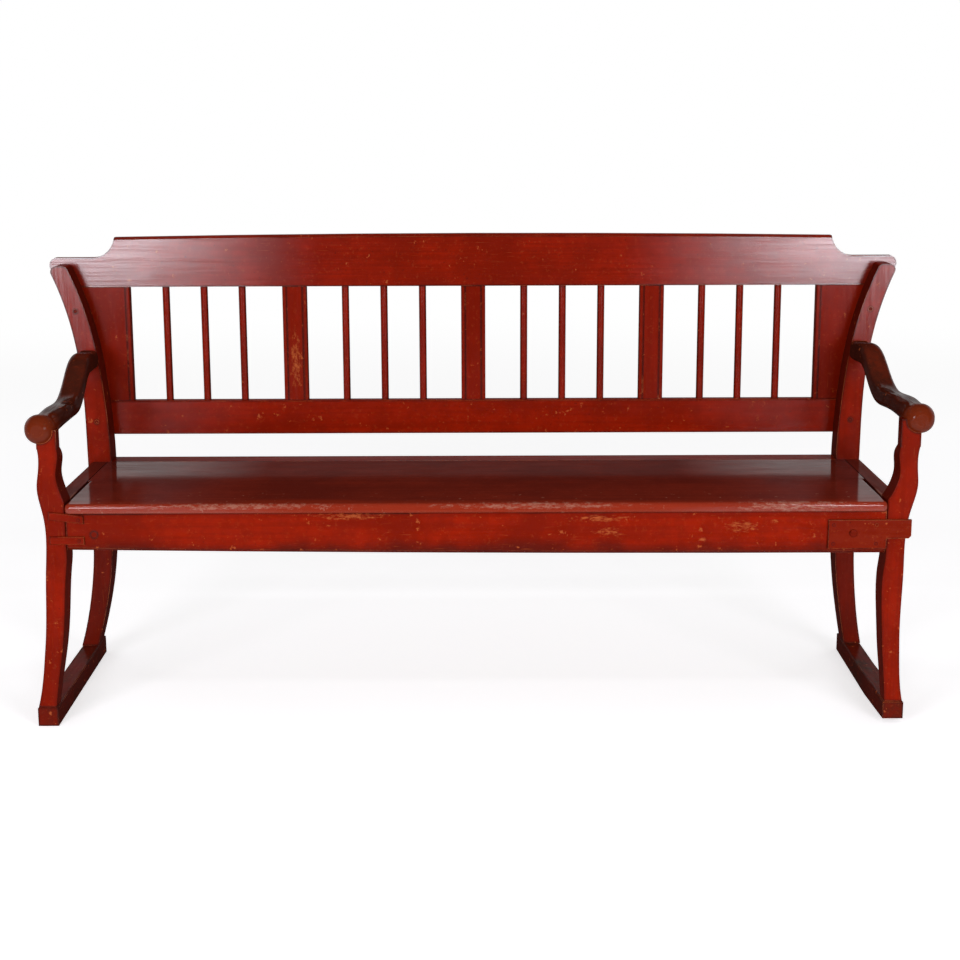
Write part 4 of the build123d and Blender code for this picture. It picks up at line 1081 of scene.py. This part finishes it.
@dataclass
class Studio:
    """The pale floor and backdrop, the soft lamps and the camera."""

    lens: float = 66.58
    sensor: float = 36.0
    camera_place: Point = (0.011, -3.574, 1.198)
    pitch: float = 0.20806
    yaw: float = 0.00066
    roll: float = -0.00312
    floor_half: float = 30.0
    floor_colour: Colour = (0.8, 0.8, 0.8)
    floor_glow: float = 0.62
    floor_fade: Span = (1.8, 7.0)
    floor_backdrop: Span = (-1.6, -1.2)
    room_light: float = 0.3
    room_gloss: float = 0.05
    room_backdrop: Span = (-0.1, 0.15)
    room_top: Span = (0.75, 0.45)
    lamp_colour: Colour = (0.95, 0.93, 1.0)
    lamp_aim: Point = (0.0, 0.0, 0.6)
    lamps: tuple[Lamps, ...] = (
        Lamps("soft_box", 72.0, (1.4, 1.1), ((-1.95, -3.6, 1.1), (1.95, -3.6, 1.1))),
        Lamps("strip", 4.6, (0.5, 0.03), ((-1.25, -2.0, 2.6), (1.2, -2.0, 2.6))),
        Lamps("back_box", 12.0, (1.6, 1.6), ((-3.6, 2.8, 1.6), (3.6, 2.8, 1.6))),
    )

    def build(self) -> None:
        """Build the whole studio."""
        self._world()
        self._floor()
        for lamps in self.lamps:
            for number, place in enumerate(lamps.places):
                self._lamp(f"{lamps.name}_{number}", place, lamps)
        self._camera()
        bpy.context.scene.view_settings.view_transform = "Standard"

    @staticmethod
    def _seen(w: Wiring, backdrop: Socket) -> Socket:
        """Return 1 for the rays that see the white backdrop as it is.

        Args:
            w: the shader's wiring.
            backdrop: 1 where the backdrop is, behind and under the bench.

        Returns:
            The share's socket.
        """
        path = w.add("LightPath")
        clear = w.maths("MAXIMUM", path.outputs["Is Camera Ray"], path.outputs["Is Transmission Ray"])
        mirrored = w.maths("MULTIPLY", path.outputs["Is Glossy Ray"], backdrop)
        return w.maths("MAXIMUM", clear, mirrored)

    def _world(self) -> None:
        """Light the room evenly, dimmer in reflections, and stand the white backdrop behind the bench."""
        world = bpy.data.worlds.new("room")
        bpy.context.scene.world = world
        world.use_nodes = True
        world.node_tree.nodes.clear()
        w = Wiring(world.node_tree)
        way = w.add("TexCoord").outputs["Generated"]
        behind = w.spread(w.along(way, Axis.ACROSS), self.room_backdrop)
        low = w.spread(w.along(way, Axis.UPRIGHT), self.room_top)
        glossy = w.add("LightPath").outputs["Is Glossy Ray"]
        dimmed = w.maths("MULTIPLY", glossy, self.room_light - self.room_gloss)
        room = w.add("Background", Color=WHITE, Strength=w.maths("SUBTRACT", self.room_light, dimmed))
        white = w.add("Background", Color=WHITE, Strength=1.0)
        seen = self._seen(w, w.maths("MULTIPLY", behind, low))
        both = w.add("MixShader", i0=seen, i1=room.outputs[0], i2=white.outputs[0])
        w.add("OutputWorld", Surface=both.outputs[0])

    def _floor(self) -> None:
        """Lay the pale floor, which fades into the backdrop."""
        bpy.ops.object.select_all(action="DESELECT")
        bpy.ops.mesh.primitive_plane_add(size=2 * self.floor_half)
        floor = bpy.context.object
        floor.name = "studio_floor"
        material, w = new_material("floor_white")
        place = w.place()
        seen = self._seen(w, w.spread(w.along(place, Axis.ACROSS), self.floor_backdrop))
        matt = w.add("BsdfDiffuse", Color=self.floor_colour)
        glow = w.add("Emission", Color=WHITE, Strength=w.maths("MULTIPLY", seen, self.floor_glow))
        near = w.add("AddShader", i0=matt.outputs[0], i1=glow.outputs[0])
        white = w.add("Emission", Color=WHITE, Strength=seen)
        away = w.spread(w.vector("LENGTH", place), self.floor_fade)
        both = w.add("MixShader", i0=away, i1=near.outputs[0], i2=white.outputs[0])
        w.add("OutputMaterial", Surface=both.outputs[0])
        floor.data.materials.append(material)

    def _lamp(self, name: str, place: Point, lamps: Lamps) -> None:
        """Hang one soft box, turned to the middle of the bench.

        Args:
            name: the lamp's name.
            place: where it hangs.
            lamps: the set that it belongs to.
        """
        data = bpy.data.lights.new(name, "AREA")
        data.energy = lamps.power
        data.color = self.lamp_colour
        data.shape = "RECTANGLE"
        data.size, data.size_y = lamps.size
        lamp = bpy.data.objects.new(name, data)
        bpy.context.scene.collection.objects.link(lamp)
        lamp.location = place
        lamp.rotation_euler = (Vector(self.lamp_aim) - Vector(place)).to_track_quat("-Z", "Y").to_euler()
        lamp.visible_camera = False

    def _camera(self) -> None:
        """Stand the camera in front of the bench, looking a little down."""
        data = bpy.data.cameras.new("camera")
        data.lens = self.lens
        data.sensor_width = self.sensor
        camera = bpy.data.objects.new("camera", data)
        bpy.context.scene.collection.objects.link(camera)
        turn = Matrix.Rotation(-self.yaw, 4, "Z") @ Matrix.Rotation(math.pi / 2 - self.pitch, 4, "X")
        turn = turn @ Matrix.Rotation(self.roll, 4, "Z")
        camera.matrix_world = Matrix.Translation(self.camera_place) @ turn
        bpy.context.scene.camera = camera


def main() -> None:
    """Build the looks of the bench, its stage and its camera."""
    logging.basicConfig(level=logging.INFO, format="%(message)s")
    for part in (EndFrames(), BackPanel(), SeatDrawer(), SlatDeck(), DropLegs()):
        part.dress_all()
        LOG.info("finished %s", type(part).__name__)
    Studio().build()


if __name__ == "__main__":
    main()
